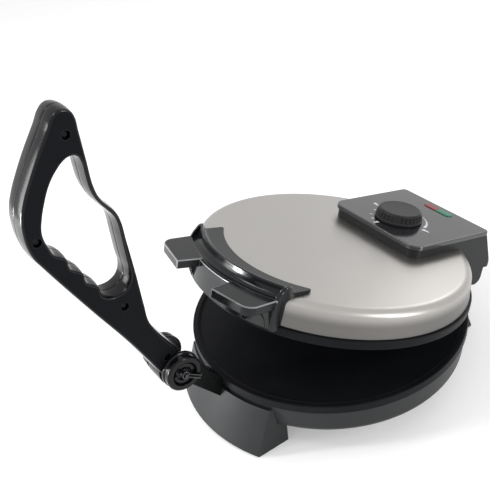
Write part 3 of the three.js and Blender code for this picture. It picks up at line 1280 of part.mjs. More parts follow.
function buildHinge() {
  const halfPin = BOX_HALF_WIDTH - BOX_WALL - FIT;
  const pin = lieAlongX(rod(HINGE_PIN_RADIUS, halfPin * 2)).translate(-halfPin, 0, 0);
  place(part, 'hinge_pin', pin, plainSteel).position.set(0, HINGE_Y, LID_Z);
  place(lid, 'hinge_yoke', hingeYoke(), plainSteel).position.y = HINGE_Y;
  const springX = YOKE_HALF + FIT;
  place(lid, 'hinge_spring_right', hingeSpring(), plainSteel).position.set(springX, HINGE_Y, 0);
  place(lid, 'hinge_spring_left', hingeSpring().rotateY(Math.PI), plainSteel)
    .position.set(-springX, HINGE_Y, 0);
}

function buildLid() {
  place(lid, 'upper_plate', upperPlate(), castPlate);
  place(lid, 'lid_dome', lidDome(), brushedSteel);
  place(lid, 'upper_heating_element', heatingElement(1), elementSteel)
    .position.z = LID_COOK_TOP + FIT + ELEMENT_TUBE / 2;
  place(lid, 'upper_reflector', reflectorPan(panDepth).rotateX(Math.PI).scale(1, -1, 1), tinPlate)
    .position.z = LID_COOK_TOP + FIT + panDepth;
  place(lid, 'front_grip', frontGrip(), satinBlack);
  gripScrewSpots.forEach(([x, y], i) => {
    place(lid, `grip_screw_${i + 1}`, screw(lidScrewLength), plainSteel)
      .position.set(x, y, domeInside - FIT);
  });
  const fuseBody = lieAlongX(rod(FUSE_RADIUS, FUSE_LENGTH, 10)).translate(-FUSE_LENGTH / 2, 0, 0);
  place(lid, 'thermal_fuse', fuseBody, whiteCeramic)
    .position.set(0, ELEMENT_RADIUS / 2, LID_COOK_TOP + FIT + FUSE_RADIUS);
}

function buildControls() {
  place(lid, 'control_box', controlBox(), darkGrey);
  boxScrewSpots.forEach(([x, y], i) => {
    place(lid, `control_box_screw_${i + 1}`, screw(lidScrewLength), plainSteel)
      .position.set(x, y, domeInside - FIT);
  });
  place(lid, 'control_panel', controlPanel(), glossBlack).position.z = PANEL_UNDERSIDE;
  place(lid, 'red_lens', lens(-1), redLens).position.z = PANEL_UNDERSIDE;
  place(lid, 'green_lens', lens(1), greenLens).position.z = PANEL_UNDERSIDE;
  ['red_lamp', 'green_lamp'].forEach((name, i) => {
    const x = (i === 0 ? -1 : 1) * LENS_LENGTH / 4;
    place(lid, name, rod(LAMP_RADIUS, LAMP_LENGTH, 10), lampGlass)
      .position.set(x, LENS_Y, PANEL_UNDERSIDE - FIT - LAMP_LENGTH);
  });
  const body = block(
    -THERMOSTAT_WIDTH / 2, THERMOSTAT_WIDTH / 2,
    -THERMOSTAT_DEPTH / 2, THERMOSTAT_DEPTH / 2,
    -THERMOSTAT_HEIGHT, 0,
  );
  const socket = rod(SHAFT_RADIUS + RUNNING_FIT, THERMOSTAT_HEIGHT / 2 + OVERRUN)
    .translate(0, 0, -THERMOSTAT_HEIGHT / 2);
  place(lid, 'thermostat', cut(body, socket), tinPlate).position.set(0, KNOB_Y, PANEL_UNDERSIDE - FIT);
  place(lid, 'knob', knob(), glossBlack).position.set(0, KNOB_Y, PANEL_TOP + KNOB_LIFT);
  const shaftBottom = PANEL_UNDERSIDE - FIT - THERMOSTAT_HEIGHT / 2 + FIT;
  const shaftTop = PANEL_TOP + KNOB_LIFT + KNOB_HEIGHT / 2 - FIT;
  place(lid, 'knob_shaft', rod(SHAFT_RADIUS, shaftTop - shaftBottom), plainSteel)
    .position.set(0, KNOB_Y, shaftBottom);
}

buildBase();
buildFeet();
buildLever();
buildHinge();
buildLid();
buildControls();

// The origin is the middle of the footprint, on the surface that the maker stands on
const extent = new THREE.Box3().setFromObject(part, true);
const middle = extent.getCenter(new THREE.Vector3());
part.position.set(-middle.x, -middle.y, -extent.min.z);

export default part;
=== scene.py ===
# %% [markdown]
# # Electric roti maker
# A round hinged cooker: two dark plates, a steel dome over the upper one, a thermostat box at the hinge
# and a long moulded lever that swings over to press the lid shut.
#
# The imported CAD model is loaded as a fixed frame. Each visible moulding is modelled again with smooth
# faces and eased edges, and stands in for its faceted solid.

# %% Load the frame
import json
import math

import bpy
from mathutils import Matrix, Vector


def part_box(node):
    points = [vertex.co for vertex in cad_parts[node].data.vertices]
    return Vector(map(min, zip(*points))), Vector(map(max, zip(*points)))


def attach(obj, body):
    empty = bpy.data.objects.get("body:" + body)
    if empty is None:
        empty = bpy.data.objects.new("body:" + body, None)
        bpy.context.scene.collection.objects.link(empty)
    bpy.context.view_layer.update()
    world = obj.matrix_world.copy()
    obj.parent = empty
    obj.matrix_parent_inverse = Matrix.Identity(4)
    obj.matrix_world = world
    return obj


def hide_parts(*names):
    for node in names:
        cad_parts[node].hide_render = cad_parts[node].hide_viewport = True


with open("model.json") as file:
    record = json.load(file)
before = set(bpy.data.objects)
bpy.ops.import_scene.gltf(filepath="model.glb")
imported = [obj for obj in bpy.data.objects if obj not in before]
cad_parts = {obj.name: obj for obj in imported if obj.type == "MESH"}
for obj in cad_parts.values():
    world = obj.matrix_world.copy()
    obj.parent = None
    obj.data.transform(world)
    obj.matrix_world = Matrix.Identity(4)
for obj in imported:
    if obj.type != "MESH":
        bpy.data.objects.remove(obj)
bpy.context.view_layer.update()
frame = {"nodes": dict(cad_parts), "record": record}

# %% [markdown]
# ## Camera
# The view was found by fitting circles of known size, the rims of the two plates and of the dome, to
# their ellipses in the picture. This gives the camera's direction, its distance and a small roll.

# %% Camera
FOCAL_PIXELS = 835.14
FRAME_PIXELS = 490
AZIMUTH, ELEVATION, ROLL = 58.918, 34.023, -7.28
camera_turn = (
    Matrix.Rotation(math.radians(AZIMUTH), 4, "Z")
    @ Matrix.Rotation(math.radians(90 - ELEVATION), 4, "X")
    @ Matrix.Rotation(math.radians(ROLL), 4, "Z")
)
plate_low, plate_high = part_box("lower_plate")
CENTRE_Y = (plate_low.y + plate_high.y) / 2
STAND = Vector((0.536581, CENTRE_Y - 0.413263, 0.603328))

bpy.ops.object.camera_add()
camera = bpy.context.object
camera.matrix_world = Matrix.Translation(STAND) @ camera_turn
camera.data.sensor_fit = "HORIZONTAL"
camera.data.sensor_width = 36
camera.data.lens = FOCAL_PIXELS / FRAME_PIXELS * camera.data.sensor_width
bpy.context.scene.camera = camera
print("lens in mm:", round(camera.data.lens, 2))

# %% [markdown]
# ## The bench
# Everything is drawn in millimetres round the middle of the lower plate. The lid's parts are drawn with
# the lid shut, their heights counted from the underside of its rim. One matrix takes a finished piece
# to its place in the frame, and another also swings it up with the lid.

# %% The bench
MILLIMETRE = 0.001
HINGE = Vector((0, 155.7, 64.6))
HUB = Vector((0, -182, 102))
LID_AJAR = math.radians(15)
BASE_BENCH = Matrix.Translation((0, CENTRE_Y, 0)) @ Matrix.Scale(MILLIMETRE, 4)
LID_BENCH = (
    BASE_BENCH
    @ Matrix.Translation(HINGE)
    @ Matrix.Rotation(-LID_AJAR, 4, "X")
    @ Matrix.Translation((0, -HINGE.y, 0))
)
BENCH_OF = {"base": BASE_BENCH, "lever": BASE_BENCH, "lid": LID_BENCH, "knob": LID_BENCH}
ALONG_X = Matrix.Rotation(math.radians(90), 4, "Z") @ Matrix.Rotation(math.radians(90), 4, "X")
# Square metres above which a face with many sides is a flat of the moulding
BROAD = 0.00005
MANY_SIDES = 8
finished = {}


def choose(piece):
    """Leave edit mode and select this piece alone."""
    if bpy.context.object and bpy.context.object.mode != "OBJECT":
        bpy.ops.object.mode_set(mode="OBJECT")
    bpy.ops.object.select_all(action="DESELECT")
    if piece:
        piece.select_set(True)
        bpy.context.view_layer.objects.active = piece


def named(name):
    """The object that was just made, under this name."""
    piece = bpy.context.object
    piece.name = name
    return piece


def apply_place(piece, matrix):
    """Move a piece by a matrix and write the place into its mesh."""
    choose(piece)
    piece.matrix_world = matrix @ piece.matrix_world
    bpy.ops.object.transform_apply(location=True, rotation=True, scale=True)


def modify(piece, kind, **settings):
    """Give a piece a modifier and apply it."""
    choose(piece)
    bpy.ops.object.modifier_add(type=kind)
    modifier = piece.modifiers[-1]
    for key, value in settings.items():
        setattr(modifier, key, value)
    bpy.ops.object.modifier_apply(modifier=modifier.name)
    return piece


def hand_over(piece, body, slot, nodes=(), smooth=32):
    """Place a finished piece, clean and shade its mesh, hang it on its body, hide the nodes that it
    stands for and note its slot.
    """
    apply_place(piece, BENCH_OF[body])
    piece.data.validate()
    bpy.ops.object.shade_smooth_by_angle(angle=math.radians(smooth))
    for face in piece.data.polygons:
        if len(face.vertices) > MANY_SIDES and face.area > BROAD:
            face.use_smooth = False
    modify(piece, "WEIGHTED_NORMAL", keep_sharp=True)
    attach(piece, body)
    if nodes:
        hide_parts(*nodes)
    finished[piece] = slot
    print(piece.name, "faces:", len(piece.data.polygons))


def middle_of(node, bench=BASE_BENCH):
    """The middle of a CAD node on a bench, in millimetres."""
    low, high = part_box(node)
    return bench.inverted() @ ((low + high) / 2)


print("middle of the plate at y =", round(CENTRE_Y, 4))

# %% [markdown]
# ## Drawing and turning
# A line is drawn by extruding one vertex from point to point. Spun round the middle it gives plates,
# dome and caps, as a lathe does. Closed, filled and pushed along it gives a slab. Boolean tools cut
# what a mould leaves open. They share no plane with the piece, so the cuts come out clean.

# %% Drawing and turning
# Points this close are one, and a round takes at most this share of the edges beside it
MERGE = 0.0005
CORNER_SHARE = 0.45


def draw(name, points, closed=False):
    """A line through points, drawn by extruding one vertex."""
    choose(None)
    bpy.ops.mesh.primitive_plane_add(size=1)
    piece = named(name)
    bpy.ops.object.mode_set(mode="EDIT")
    bpy.ops.mesh.merge(type="CENTER")
    bpy.ops.transform.translate(value=points[0])
    stops = list(points) + ([points[0]] if closed else [])
    for start, end in zip(stops, stops[1:]):
        step = Vector(end) - Vector(start)
        bpy.ops.mesh.extrude_region_move(TRANSFORM_OT_translate={"value": step})
    bpy.ops.mesh.select_all(action="SELECT")
    bpy.ops.mesh.remove_doubles(threshold=MERGE)
    return piece


def edit(piece):
    """Open a piece's mesh with all of it selected."""
    choose(piece)
    bpy.ops.object.mode_set(mode="EDIT")
    bpy.ops.mesh.select_all(action="SELECT")


def soften(points, radius, steps=5, closed=True):
    """The same flat line with a round of about this radius at each corner."""
    line = [Vector(p) for p in points]
    result = []
    for i, corner in enumerate(line):
        if not closed and i in (0, len(line) - 1):
            result.append(tuple(corner))
            continue
        before = line[i - 1] - corner
        after = line[(i + 1) % len(line)] - corner
        reach = min(radius, before.length * CORNER_SHARE, after.length * CORNER_SHARE)
        start = corner + before.normalized() * reach
        end = corner + after.normalized() * reach
        result.append(tuple(start))
        result += bend(start, corner, end, steps)
    return result


def bend(start, middle, end, steps=8):
    """Points on a smooth bend that leaves its start, is pulled towards a middle point and ends."""
    a, b, c = Vector(start), Vector(middle), Vector(end)
    parts = [k / steps for k in range(1, steps + 1)]
    return [tuple(a * (1 - t) ** 2 + b * 2 * t * (1 - t) + c * t ** 2) for t in parts]


def arc(centre, radius, start, end, steps, height=None):
    """Points (across, up) on part of a circle or ellipse, with angles in degrees."""
    high = radius if height is None else height
    angles = [math.radians(start + (end - start) * k / steps) for k in range(steps + 1)]
    return [(centre[0] + radius * math.cos(a), centre[1] + high * math.sin(a)) for a in angles]


def face_outwards(piece):
    """Merge doubles, turn the faces outwards and leave edit mode."""
    edit(piece)
    bpy.ops.mesh.remove_doubles(threshold=MERGE)
    bpy.ops.mesh.normals_make_consistent(inside=False)
    choose(piece)
    return piece


def turn(name, profile, steps=160, ring=False):
    """Spin [radius, height] points round the upright axis."""
    piece = draw(name, [(r, 0, z) for r, z in profile], closed=ring)
    bpy.ops.mesh.spin(steps=steps, angle=2 * math.pi, center=(0, 0, 0), axis=(0, 0, 1))
    return face_outwards(piece)


def sweep(name, profile, start, end, steps):
    """Spin a filled [radius, height] outline from one angle to another, in degrees."""
    a = math.radians(start)
    piece = draw(name, [(r * math.cos(a), r * math.sin(a), z) for r, z in profile], closed=True)
    bpy.ops.mesh.edge_face_add()
    # The operator turns clockwise for a positive angle
    bpy.ops.mesh.spin(steps=steps, angle=math.radians(start - end), center=(0, 0, 0), axis=(0, 0, 1))
    return face_outwards(piece)


def slab(name, outline, step, taper=1):
    """Fill a closed outline and push it along a vector, narrowing it round the upright axis."""
    piece = draw(name, outline, closed=True)
    bpy.ops.mesh.edge_face_add()
    bpy.ops.mesh.extrude_region_move(TRANSFORM_OT_translate={"value": step})
    bpy.ops.transform.resize(value=(taper, taper, 1), center_override=(0, 0, 0))
    return face_outwards(piece)


def upright(name, plan, low, high, taper=1):
    """A slab of a plan (x, y) between two heights."""
    return slab(name, [(x, y, low) for x, y in plan], (0, 0, high - low), taper)


def crosswise(name, side_view, low, high):
    """A slab of a side view (y, z) between two places across."""
    return slab(name, [(low, y, z) for y, z in side_view], (high - low, 0, 0))


def block(name, low, high):
    """A cutting block between two corners."""
    choose(None)
    bpy.ops.mesh.primitive_cube_add(size=1)
    piece = named(name)
    low, high = Vector(low), Vector(high)
    apply_place(piece, Matrix.Translation((low + high) / 2) @ Matrix.Diagonal((*(high - low), 1)))
    return piece


def rod(name, radius, start, end, sides=48):
    """A cutting rod between two points."""
    start, end = Vector(start), Vector(end)
    axis = end - start
    choose(None)
    bpy.ops.mesh.primitive_cylinder_add(vertices=sides, radius=radius, depth=axis.length)
    piece = named(name)
    lean = axis.to_track_quat("Z", "Y").to_matrix().to_4x4()
    apply_place(piece, Matrix.Translation((start + end) / 2) @ lean)
    return piece


def combine(piece, tool, operation="DIFFERENCE"):
    """Cut with a tool, join it or keep what both share, and clear the tool away."""
    modify(piece, "BOOLEAN", solver="EXACT", operation=operation, object=tool)
    bpy.data.objects.remove(tool)
    return piece


def join(piece, *parts):
    """Make one closed body of a piece and its parts."""
    for part in parts:
        combine(piece, part, "UNION")
    return piece


def ease(piece, width, angle=40, segments=2):
    """Round every sharp edge a little, as a mould or a file leaves it."""
    return modify(
        piece, "BEVEL", width=width, segments=segments, limit_method="ANGLE",
        angle_limit=math.radians(angle), miter_outer="MITER_ARC")


def copy_of(piece, name):
    """A copy with a mesh of its own."""
    choose(piece)
    bpy.ops.object.duplicate()
    return named(name)


def flip(piece):
    """Mirror a piece across the middle plane and turn its faces outwards again."""
    apply_place(piece, Matrix.Diagonal((-1, 1, 1, 1)))
    return face_outwards(piece)


def empty_curve(name):
    """A curve without any line yet."""
    choose(None)
    bpy.ops.curve.primitive_bezier_curve_add()
    piece = named(name)
    piece.data.splines.clear()
    return piece


def wire(name, points, radius):
    """A round wire along points, made as a curve with a round section and then a mesh."""
    piece = empty_curve(name)
    spline = piece.data.splines.new("POLY")
    spline.points.add(len(points) - 1)
    for knot, point in zip(spline.points, points):
        knot.co = (*point, 1)
    piece.data.dimensions = "3D"
    piece.data.bevel_depth = radius
    piece.data.bevel_resolution = 4
    piece.data.use_fill_caps = True
    choose(piece)
    bpy.ops.object.convert(target="MESH")
    return face_outwards(bpy.context.object)


print("drawing helpers ready")

# %% [markdown]
# ## Lower plate and shell
# The lower plate is cast aluminium with a dark coating: a shallow dish inside a flat ledge, with a deep
# rim that shows as a band. The shell below it is a bowl of moulded plastic. Both are turned shapes.

# %% Lower plate and shell
SCREW_BORE = 2.1
SCREW_SIDES = 24
PLATE_STEPS = 200
# Half the width of the gap in which the arm stands
SLOT_HALF = 10.3


def bore_screw(piece, spot, low, high):
    """An upright bore for a screw."""
    combine(piece, rod("screw_bore", SCREW_BORE, (*spot.xy, low), (*spot.xy, high), SCREW_SIDES))


lower_rim = soften([
    (133.5, 55.5), (133.5, 54.4), (140, 54.4), (140, 63), (134.6, 63), (132.4, 61), (124, 61),
], 1.1, closed=False)
lower_plate = turn("plate_lower", [(0, 55.5), *lower_rim, (0, 61)], PLATE_STEPS)
hand_over(lower_plate, "base", "plate_coating", ["lower_plate"])

shell_line = [(138.7, 54.1), (136.1, 32.3), (134.6, 28.8), (131.1, 27.3), (106.1, 27.3), (106.1, 29.5),
              (131.1, 29.5), (133.9, 32.3), (136.5, 54.1)]
base_shell = turn("shell_lower", soften(shell_line, 1, 3), PLATE_STEPS, True)
combine(base_shell, block("arm_gap", (-SLOT_HALF, -150, 29.8), (SLOT_HALF, -125, 60)))
FOOT_SCREWS = [middle_of(f"foot_screw_{i}") for i in range(1, 5)]
for spot in FOOT_SCREWS + [middle_of(f"bottom_cover_screw_{i}") for i in range(1, 5)]:
    bore_screw(base_shell, spot, 20, 35)
hand_over(base_shell, "base", "body_grey", ["base_shell"])

# %% [markdown]
# ## Feet
# Each foot is a moulded bracket under the edge of the shell with two bosses for the rubber pads: a cone
# trimmed by flat ends, less the bowl that sits in it and less the hollow below.

# %% Feet
FOOT_HALF = 66
FOOT_WALL = 3
FOOT_STEPS = 220
PIN_BORE = 3.3
PAD_SPOTS = [middle_of(f"foot_pad_{i}") for i in range(1, 5)]


def bowl_space():
    """The room that the shell takes up inside a foot."""
    return turn("bowl_space", [
        (0, 27), (131.1, 27), (134.9, 28.5), (136.4, 32), (139, 54.1), (139, 70), (0, 70),
    ], FOOT_STEPS)


def foot(name):
    """A foot towards the lever; the hinge foot is the same, turned half round."""
    piece = turn(name, [(0, 1), (157.1, 1), (158, 1.9), (141.6, 50), (0, 50)], FOOT_STEPS)
    combine(piece, block("foot_ends", (-FOOT_HALF, -170, 0), (FOOT_HALF, -108, 50.5)), "INTERSECT")
    ease(piece, 1.4, 50, 3)
    hollow_line = [(0, -5), (155, -5), (155, 1), (146.8, 24), (0, 24)]
    hollow = turn("foot_hollow", hollow_line, FOOT_STEPS)
    room = FOOT_HALF - FOOT_WALL
    combine(hollow, block("hollow_ends", (-room, -170, -6), (room, -111, 25)), "INTERSECT")
    combine(piece, hollow)
    combine(piece, bowl_space())
    spots = [spot for spot in PAD_SPOTS if spot.y < 0]
    for spot in spots:
        join(piece, rod("pad_boss", 10.3, (*spot.xy, 1), (*spot.xy, 24.6)))
    for spot in spots:
        combine(piece, rod("pad_socket", 7.8, (*spot.xy, -1), (*spot.xy, 3.8)))
    return piece


def bore_screws(piece, side):
    """The screws' bores through the foot on one side of the middle."""
    for spot in FOOT_SCREWS:
        if spot.y * side > 0:
            bore_screw(piece, spot, 20, 40)


front_foot = foot("foot_front")
combine(front_foot, block("notch", (-SLOT_HALF, -160, 41), (SLOT_HALF, -105, 56)))
combine(front_foot, block("root_pocket", (-SLOT_HALF, -141.8, 27.3), (SLOT_HALF, -105, 52)))
bore_screws(front_foot, -1)
hand_over(front_foot, "base", "body_grey", ["front_foot"])

rear_foot = foot("foot_rear")
apply_place(rear_foot, Matrix.Rotation(math.pi, 4, "Z"))
for x in (-49.9, 37.9):
    ear_line = [(125.6, 32.3), (141.6, 32.3), *arc(HINGE.yz, 8, -40, 140, 24)]
    join(rear_foot, ease(crosswise("knuckle", ear_line, x, x + 12), 0.8))
combine(rear_foot, bowl_space())
rim_line = [(0, 54.1), (140.3, 54.1), (140.3, 75), (0, 75)]
combine(rear_foot, turn("rim_space", rim_line, FOOT_STEPS))
combine(rear_foot, rod("pin_bore", PIN_BORE, (-60, *HINGE.yz), (60, *HINGE.yz)))
gland_spot = middle_of("cord_gland")
combine(rear_foot, rod("cord_bore", 5.3, (-72, *gland_spot.yz), (-58, *gland_spot.yz)))
bore_screws(rear_foot, 1)
hand_over(rear_foot, "base", "body_grey", ["rear_foot"])

# %% [markdown]
# ## Rubber pads and the cord's bush
# The feet hold four rubber pads, each a copy of the first, and the bush that lines the hole for a cord.

# %% Rubber pads and bush
pad = turn("pad", soften([(0, 0), (7.5, 0), (7.5, 3.5), (0, 3.5)], 0.9, 4, False), 48)
for i, spot in enumerate(PAD_SPOTS):
    twin = copy_of(pad, f"pad_rubber_{i + 1}")
    apply_place(twin, Matrix.Translation((*spot.xy, 0)))
    hand_over(twin, "base", "pad_rubber", [f"foot_pad_{i + 1}"])
bpy.data.objects.remove(pad)

bush = turn("cord_bush", soften([(3.4, 0), (7, 0), (7, 2), (5, 2), (5, 7), (3.4, 7)], 0.5, 3), 48, True)
apply_place(bush, Matrix.Translation((-68.3, *gland_spot.yz)) @ ALONG_X)
hand_over(bush, "base", "pad_rubber", ["cord_gland"])

# %% [markdown]
# ## Lever arm
# A thick painted bar rises from the notch in the front foot and ends in an eye round the pivot. Its
# straight edges run tangent to the eye, so the tangent points are worked out.

# %% Lever arm


def tangent(point, radius, side):
    """Where a straight edge from a point (y, z) meets a circle round the hub, as an angle."""
    dy, dz = point[0] - HUB.y, point[1] - HUB.z
    return math.atan2(dz, dy) + side * math.acos(radius / math.hypot(dy, dz))


ARM_HALF = 10
EYE_RADIUS = 10
PIVOT_BORE = 4.3
UPPER_BEND = (-143.7, 65.8)
LOWER_BEND = (-144.5, 41.3)
upper = math.degrees(tangent(UPPER_BEND, EYE_RADIUS, 1))
lower = math.degrees(tangent(LOWER_BEND, EYE_RADIUS, -1)) + 360
arm_line = [
    (-127, 30.1), (-127, 54.1), (-140.6, 54.1), (-140.6, 63), UPPER_BEND,
    *arc(HUB.yz, EYE_RADIUS, upper, lower, 40), LOWER_BEND, (-141.5, 41.3), (-141.5, 30.1),
]
arm = crosswise("arm_bar", arm_line, -ARM_HALF, ARM_HALF)
combine(arm, rod("eye_bore", PIVOT_BORE + 0.05, (-20, *HUB.yz), (20, *HUB.yz)))
for spot in FOOT_SCREWS:
    if abs(spot.x) < ARM_HALF and spot.y < 0:
        bore_screw(arm, spot, 20, 37)
ease(arm, 1.2, 25, 3)
hand_over(arm, "base", "arm_paint", ["lever_arm"])

# %% [markdown]
# ## Handle
# The long lever is a hollow phenolic moulding in two halves that meet on a seam. Its outline and its
# finger window are smooth, so they are drawn as two loops of one flat Bezier curve, with automatic
# handles, through points given as shares of the handle's length.

# %% Handle outline
HANDLE_LENGTH = 277
HANDLE_LEAN = math.radians(10.7)
HANDLE_HALF = 13
rear_edge = [
    (0.043, 0.0325), (0.064, 0.028), (0.11, 0.014), (0.149, 0.001), (0.199, -0.013), (0.24, -0.019),
    (0.3, -0.011), (0.416, 0.007), (0.542, 0.024), (0.611, 0.033), (0.645, 0.03), (0.675, 0.018),
    (0.705, 0.007), (0.745, 0.004), (0.831, 0.017), (0.917, 0.031), (0.959, 0.037), (0.98, 0.031),
    (0.9945, 0.014), (0.9975, -0.004), (0.988, -0.026),
]
front_edge = [
    (0.959, -0.055), (0.909, -0.108), (0.86, -0.155), (0.819, -0.19), (0.78, -0.215),
    (0.735, -0.23), (0.694, -0.2365), (0.655, -0.2355), (0.62, -0.227), (0.4, -0.165), (0.2, -0.105),
]
window_edge = [
    (0.424, -0.11), (0.405, -0.096), (0.396, -0.073), (0.396, -0.05), (0.406, -0.03), (0.43, -0.014),
    (0.478, -0.006), (0.52, 0.001), (0.561, 0.008), (0.6, 0.0145), (0.632, 0.014), (0.66, 0.005),
    (0.692, -0.007), (0.719, -0.0135), (0.755, -0.015), (0.8, -0.009), (0.835, -0.004), (0.855, -0.009),
    (0.863, -0.024), (0.861, -0.042), (0.85, -0.065), (0.824, -0.1), (0.781, -0.136), (0.745, -0.16),
    (0.715, -0.175), (0.69, -0.18), (0.66, -0.179), (0.635, -0.176),
]
SCALLOPS = 3
SCALLOP_DEPTH = 0.013
SCALLOP_STEPS = 18
SCREW_SPOTS = [(0.926, -0.009), (0.695, -0.204), (0.343, -0.069), (0.072, -0.019)]


def on_handle(share):
    """A point (y, z) of the lever from its shares along and across."""
    u, v = share[0] * HANDLE_LENGTH, share[1] * HANDLE_LENGTH
    return Vector((
        HUB.y - u * math.sin(HANDLE_LEAN) + v * math.cos(HANDLE_LEAN),
        HUB.z + u * math.cos(HANDLE_LEAN) + v * math.sin(HANDLE_LEAN),
    ))


start, end = window_edge[-1], window_edge[0]
for k in range(1, SCALLOP_STEPS):
    t = k / SCALLOP_STEPS
    rise = SCALLOP_DEPTH * math.sin(SCALLOPS * math.pi * t) ** 2
    window_edge.append((start[0] + (end[0] - start[0]) * t, start[1] + (end[1] - start[1]) * t + rise))
hub_end = [Vector(p) for p in arc(HUB.yz, 15, 201, 397, 9)]
outline_loop = [on_handle(s) for s in rear_edge + front_edge] + hub_end
window_loop = [on_handle(s) for s in window_edge]


def smooth_loop(curve, loop):
    """A closed Bezier loop through flat points, with automatic handles."""
    spline = curve.splines.new("BEZIER")
    spline.bezier_points.add(len(loop) - 1)
    for knot, point in zip(spline.bezier_points, loop):
        knot.co = (point.x, point.y, 0)
        knot.handle_left_type = knot.handle_right_type = "AUTO"
    spline.use_cyclic_u = True
    spline.resolution_u = 5


handle_curve = empty_curve("handle_whole")
handle_curve.data.dimensions = "2D"
handle_curve.data.fill_mode = "BOTH"
for loop in (outline_loop, window_loop):
    smooth_loop(handle_curve.data, loop)
handle_curve.data.extrude = HANDLE_HALF
choose(handle_curve)
bpy.ops.object.convert(target="MESH")
handle = bpy.context.object
FLAT_TO_YZ = Matrix(((0, 0, 1, 0), (1, 0, 0, 0), (0, 1, 0, 0), (0, 0, 0, 1)))
apply_place(handle, FLAT_TO_YZ)
face_outwards(handle)
print("handle faces:", len(handle.data.polygons))

# %% [markdown]
# The edges are crowned for the hand: the seam stands proud, the surface falls away to both sides and
# turns over a small round to the flat faces. A fine groove marks the seam. The walls are cut into bands
# along the width, and each is drawn in by the depth there.

# %% Crowned edges
CROWN = 1.2
EDGE_ROUND = 1.4
SEAM_GROOVE = 0.8
edit(handle)
for distance in (0, 0.3, 0.8, 3.5, 6.5, 9, 10.6, 11.6, 12.1, 12.5, 12.8):
    for side in ((1, -1) if distance else (1,)):
        bpy.ops.mesh.select_all(action="SELECT")
        bpy.ops.mesh.bisect(plane_co=(side * distance, 0, 0), plane_no=(1, 0, 0))
choose(handle)


def drawn_in(x):
    """How far the handle's surface lies inside its outline, at a distance from the seam."""
    over = max(0, abs(x) - (HANDLE_HALF - EDGE_ROUND))
    rounding = EDGE_ROUND - math.sqrt(max(0, EDGE_ROUND ** 2 - over ** 2))
    groove = max(0, SEAM_GROOVE - abs(x)) ** 2
    return CROWN * (x / HANDLE_HALF) ** 2 + rounding + groove


outwards = [Vector((0, v.normal.y, v.normal.z)).normalized() for v in handle.data.vertices]
for vertex, direction in zip(handle.data.vertices, outwards):
    vertex.co -= direction * drawn_in(vertex.co.x)
print("handle after crowning:", len(handle.data.polygons))

# %% [markdown]
# The hub holds a drum with a wedge-shaped slot in which the arm's eye turns. The wedge is what the arm
# sweeps between rest and press and a little more, so it is drawn from the arm's own tangent edges.

# %% Hub, slot and screw recesses
RUN = EYE_RADIUS + 0.35
SWING = math.radians(93.4)
DRUM_HALF = SLOT_HALF - 0.1
low_angle = tangent(LOWER_BEND, RUN, -1)
high_angle = tangent(UPPER_BEND, RUN, 1) + SWING


def along(angle, bend_angle, reach=57):
    """A point (y, z) on a straight edge that leaves the hub's circle at an angle."""
    return (
        HUB.y + RUN * math.cos(angle) + reach * math.cos(angle + bend_angle),
        HUB.z + RUN * math.sin(angle) + reach * math.sin(angle + bend_angle),
    )


wedge_line = [
    (HUB.y + 114, HUB.z), along(low_angle, math.pi / 2),
    *arc(HUB.yz, RUN, math.degrees(low_angle), math.degrees(high_angle) - 360, 30),
    along(high_angle, -math.pi / 2),
]
wedge = crosswise("arm_wedge", wedge_line, -SLOT_HALF, SLOT_HALF)
drum = ease(rod("hub_drum", 19, (-DRUM_HALF, *HUB.yz), (DRUM_HALF, *HUB.yz), 96), 0.6)
join(handle, drum)
combine(handle, wedge)
combine(handle, rod("pivot_bore", PIVOT_BORE, (-20, *HUB.yz), (20, *HUB.yz)))
for share in SCREW_SPOTS:
    y, z = on_handle(share)
    combine(handle, rod("screw_recess", 3.7, (8, y, z), (20, y, z)))
    combine(handle, rod("screw_bore", SCREW_BORE, (-4.4, y, z), (9, y, z), SCREW_SIDES))


def half_of(piece, name, side):
    """Keep one side of the seam."""
    half = copy_of(piece, name)
    edit(half)
    bpy.ops.mesh.bisect(
        plane_co=(side * 0.15, 0, 0), plane_no=(side, 0, 0), use_fill=True, clear_inner=True)
    choose(half)
    return half


handle_right = half_of(handle, "handle_right", 1)
handle_left = half_of(handle, "handle_left", -1)
bpy.data.objects.remove(handle)
hand_over(handle_right, "lever", "handle_black", ["handle_right_half"], smooth=38)
hand_over(handle_left, "lever", "handle_black", ["handle_left_half"], smooth=38)

# %% [markdown]
# ## Hub caps and clip
# Glossy stepped caps, turned and laid along the pivot's axis, close its two ends. Two raised curved
# pads stand in each recess. On one side a hairpin of wire grips the pin's nub.

# %% Hub caps and clip
CLIP_TURN = -35
cap = turn("cap_right", soften([
    (PIVOT_BORE, 0), (18.4, 0), (18.4, 2.6), (17, 3.2), (17, 4.1), (17.7, 4.7), (17.7, 9.3),
    (16.3, 10.7), (12.2, 10.7), (11.5, 4.7), (7.5, 4.7), (7.5, 6.7), (PIVOT_BORE, 6.7),
], 0.45, 3), 96, True)
pad_line = soften([(6.8, 4), (10.3, 4), (10.3, 9.1), (6.8, 9.1)], 0.7, 4)
for side in (-90, 90):
    raised = sweep("cap_pad", pad_line, CLIP_TURN + side - 60, CLIP_TURN + side + 60, 24)
    join(cap, ease(raised, 0.5, 50))
apply_place(cap, Matrix.Translation((13.3, *HUB.yz)) @ ALONG_X)
cap_left = flip(copy_of(cap, "cap_left"))
hand_over(cap, "lever", "handle_black", ["hub_cap_right"])
hand_over(cap_left, "lever", "handle_black", ["hub_cap_left"])

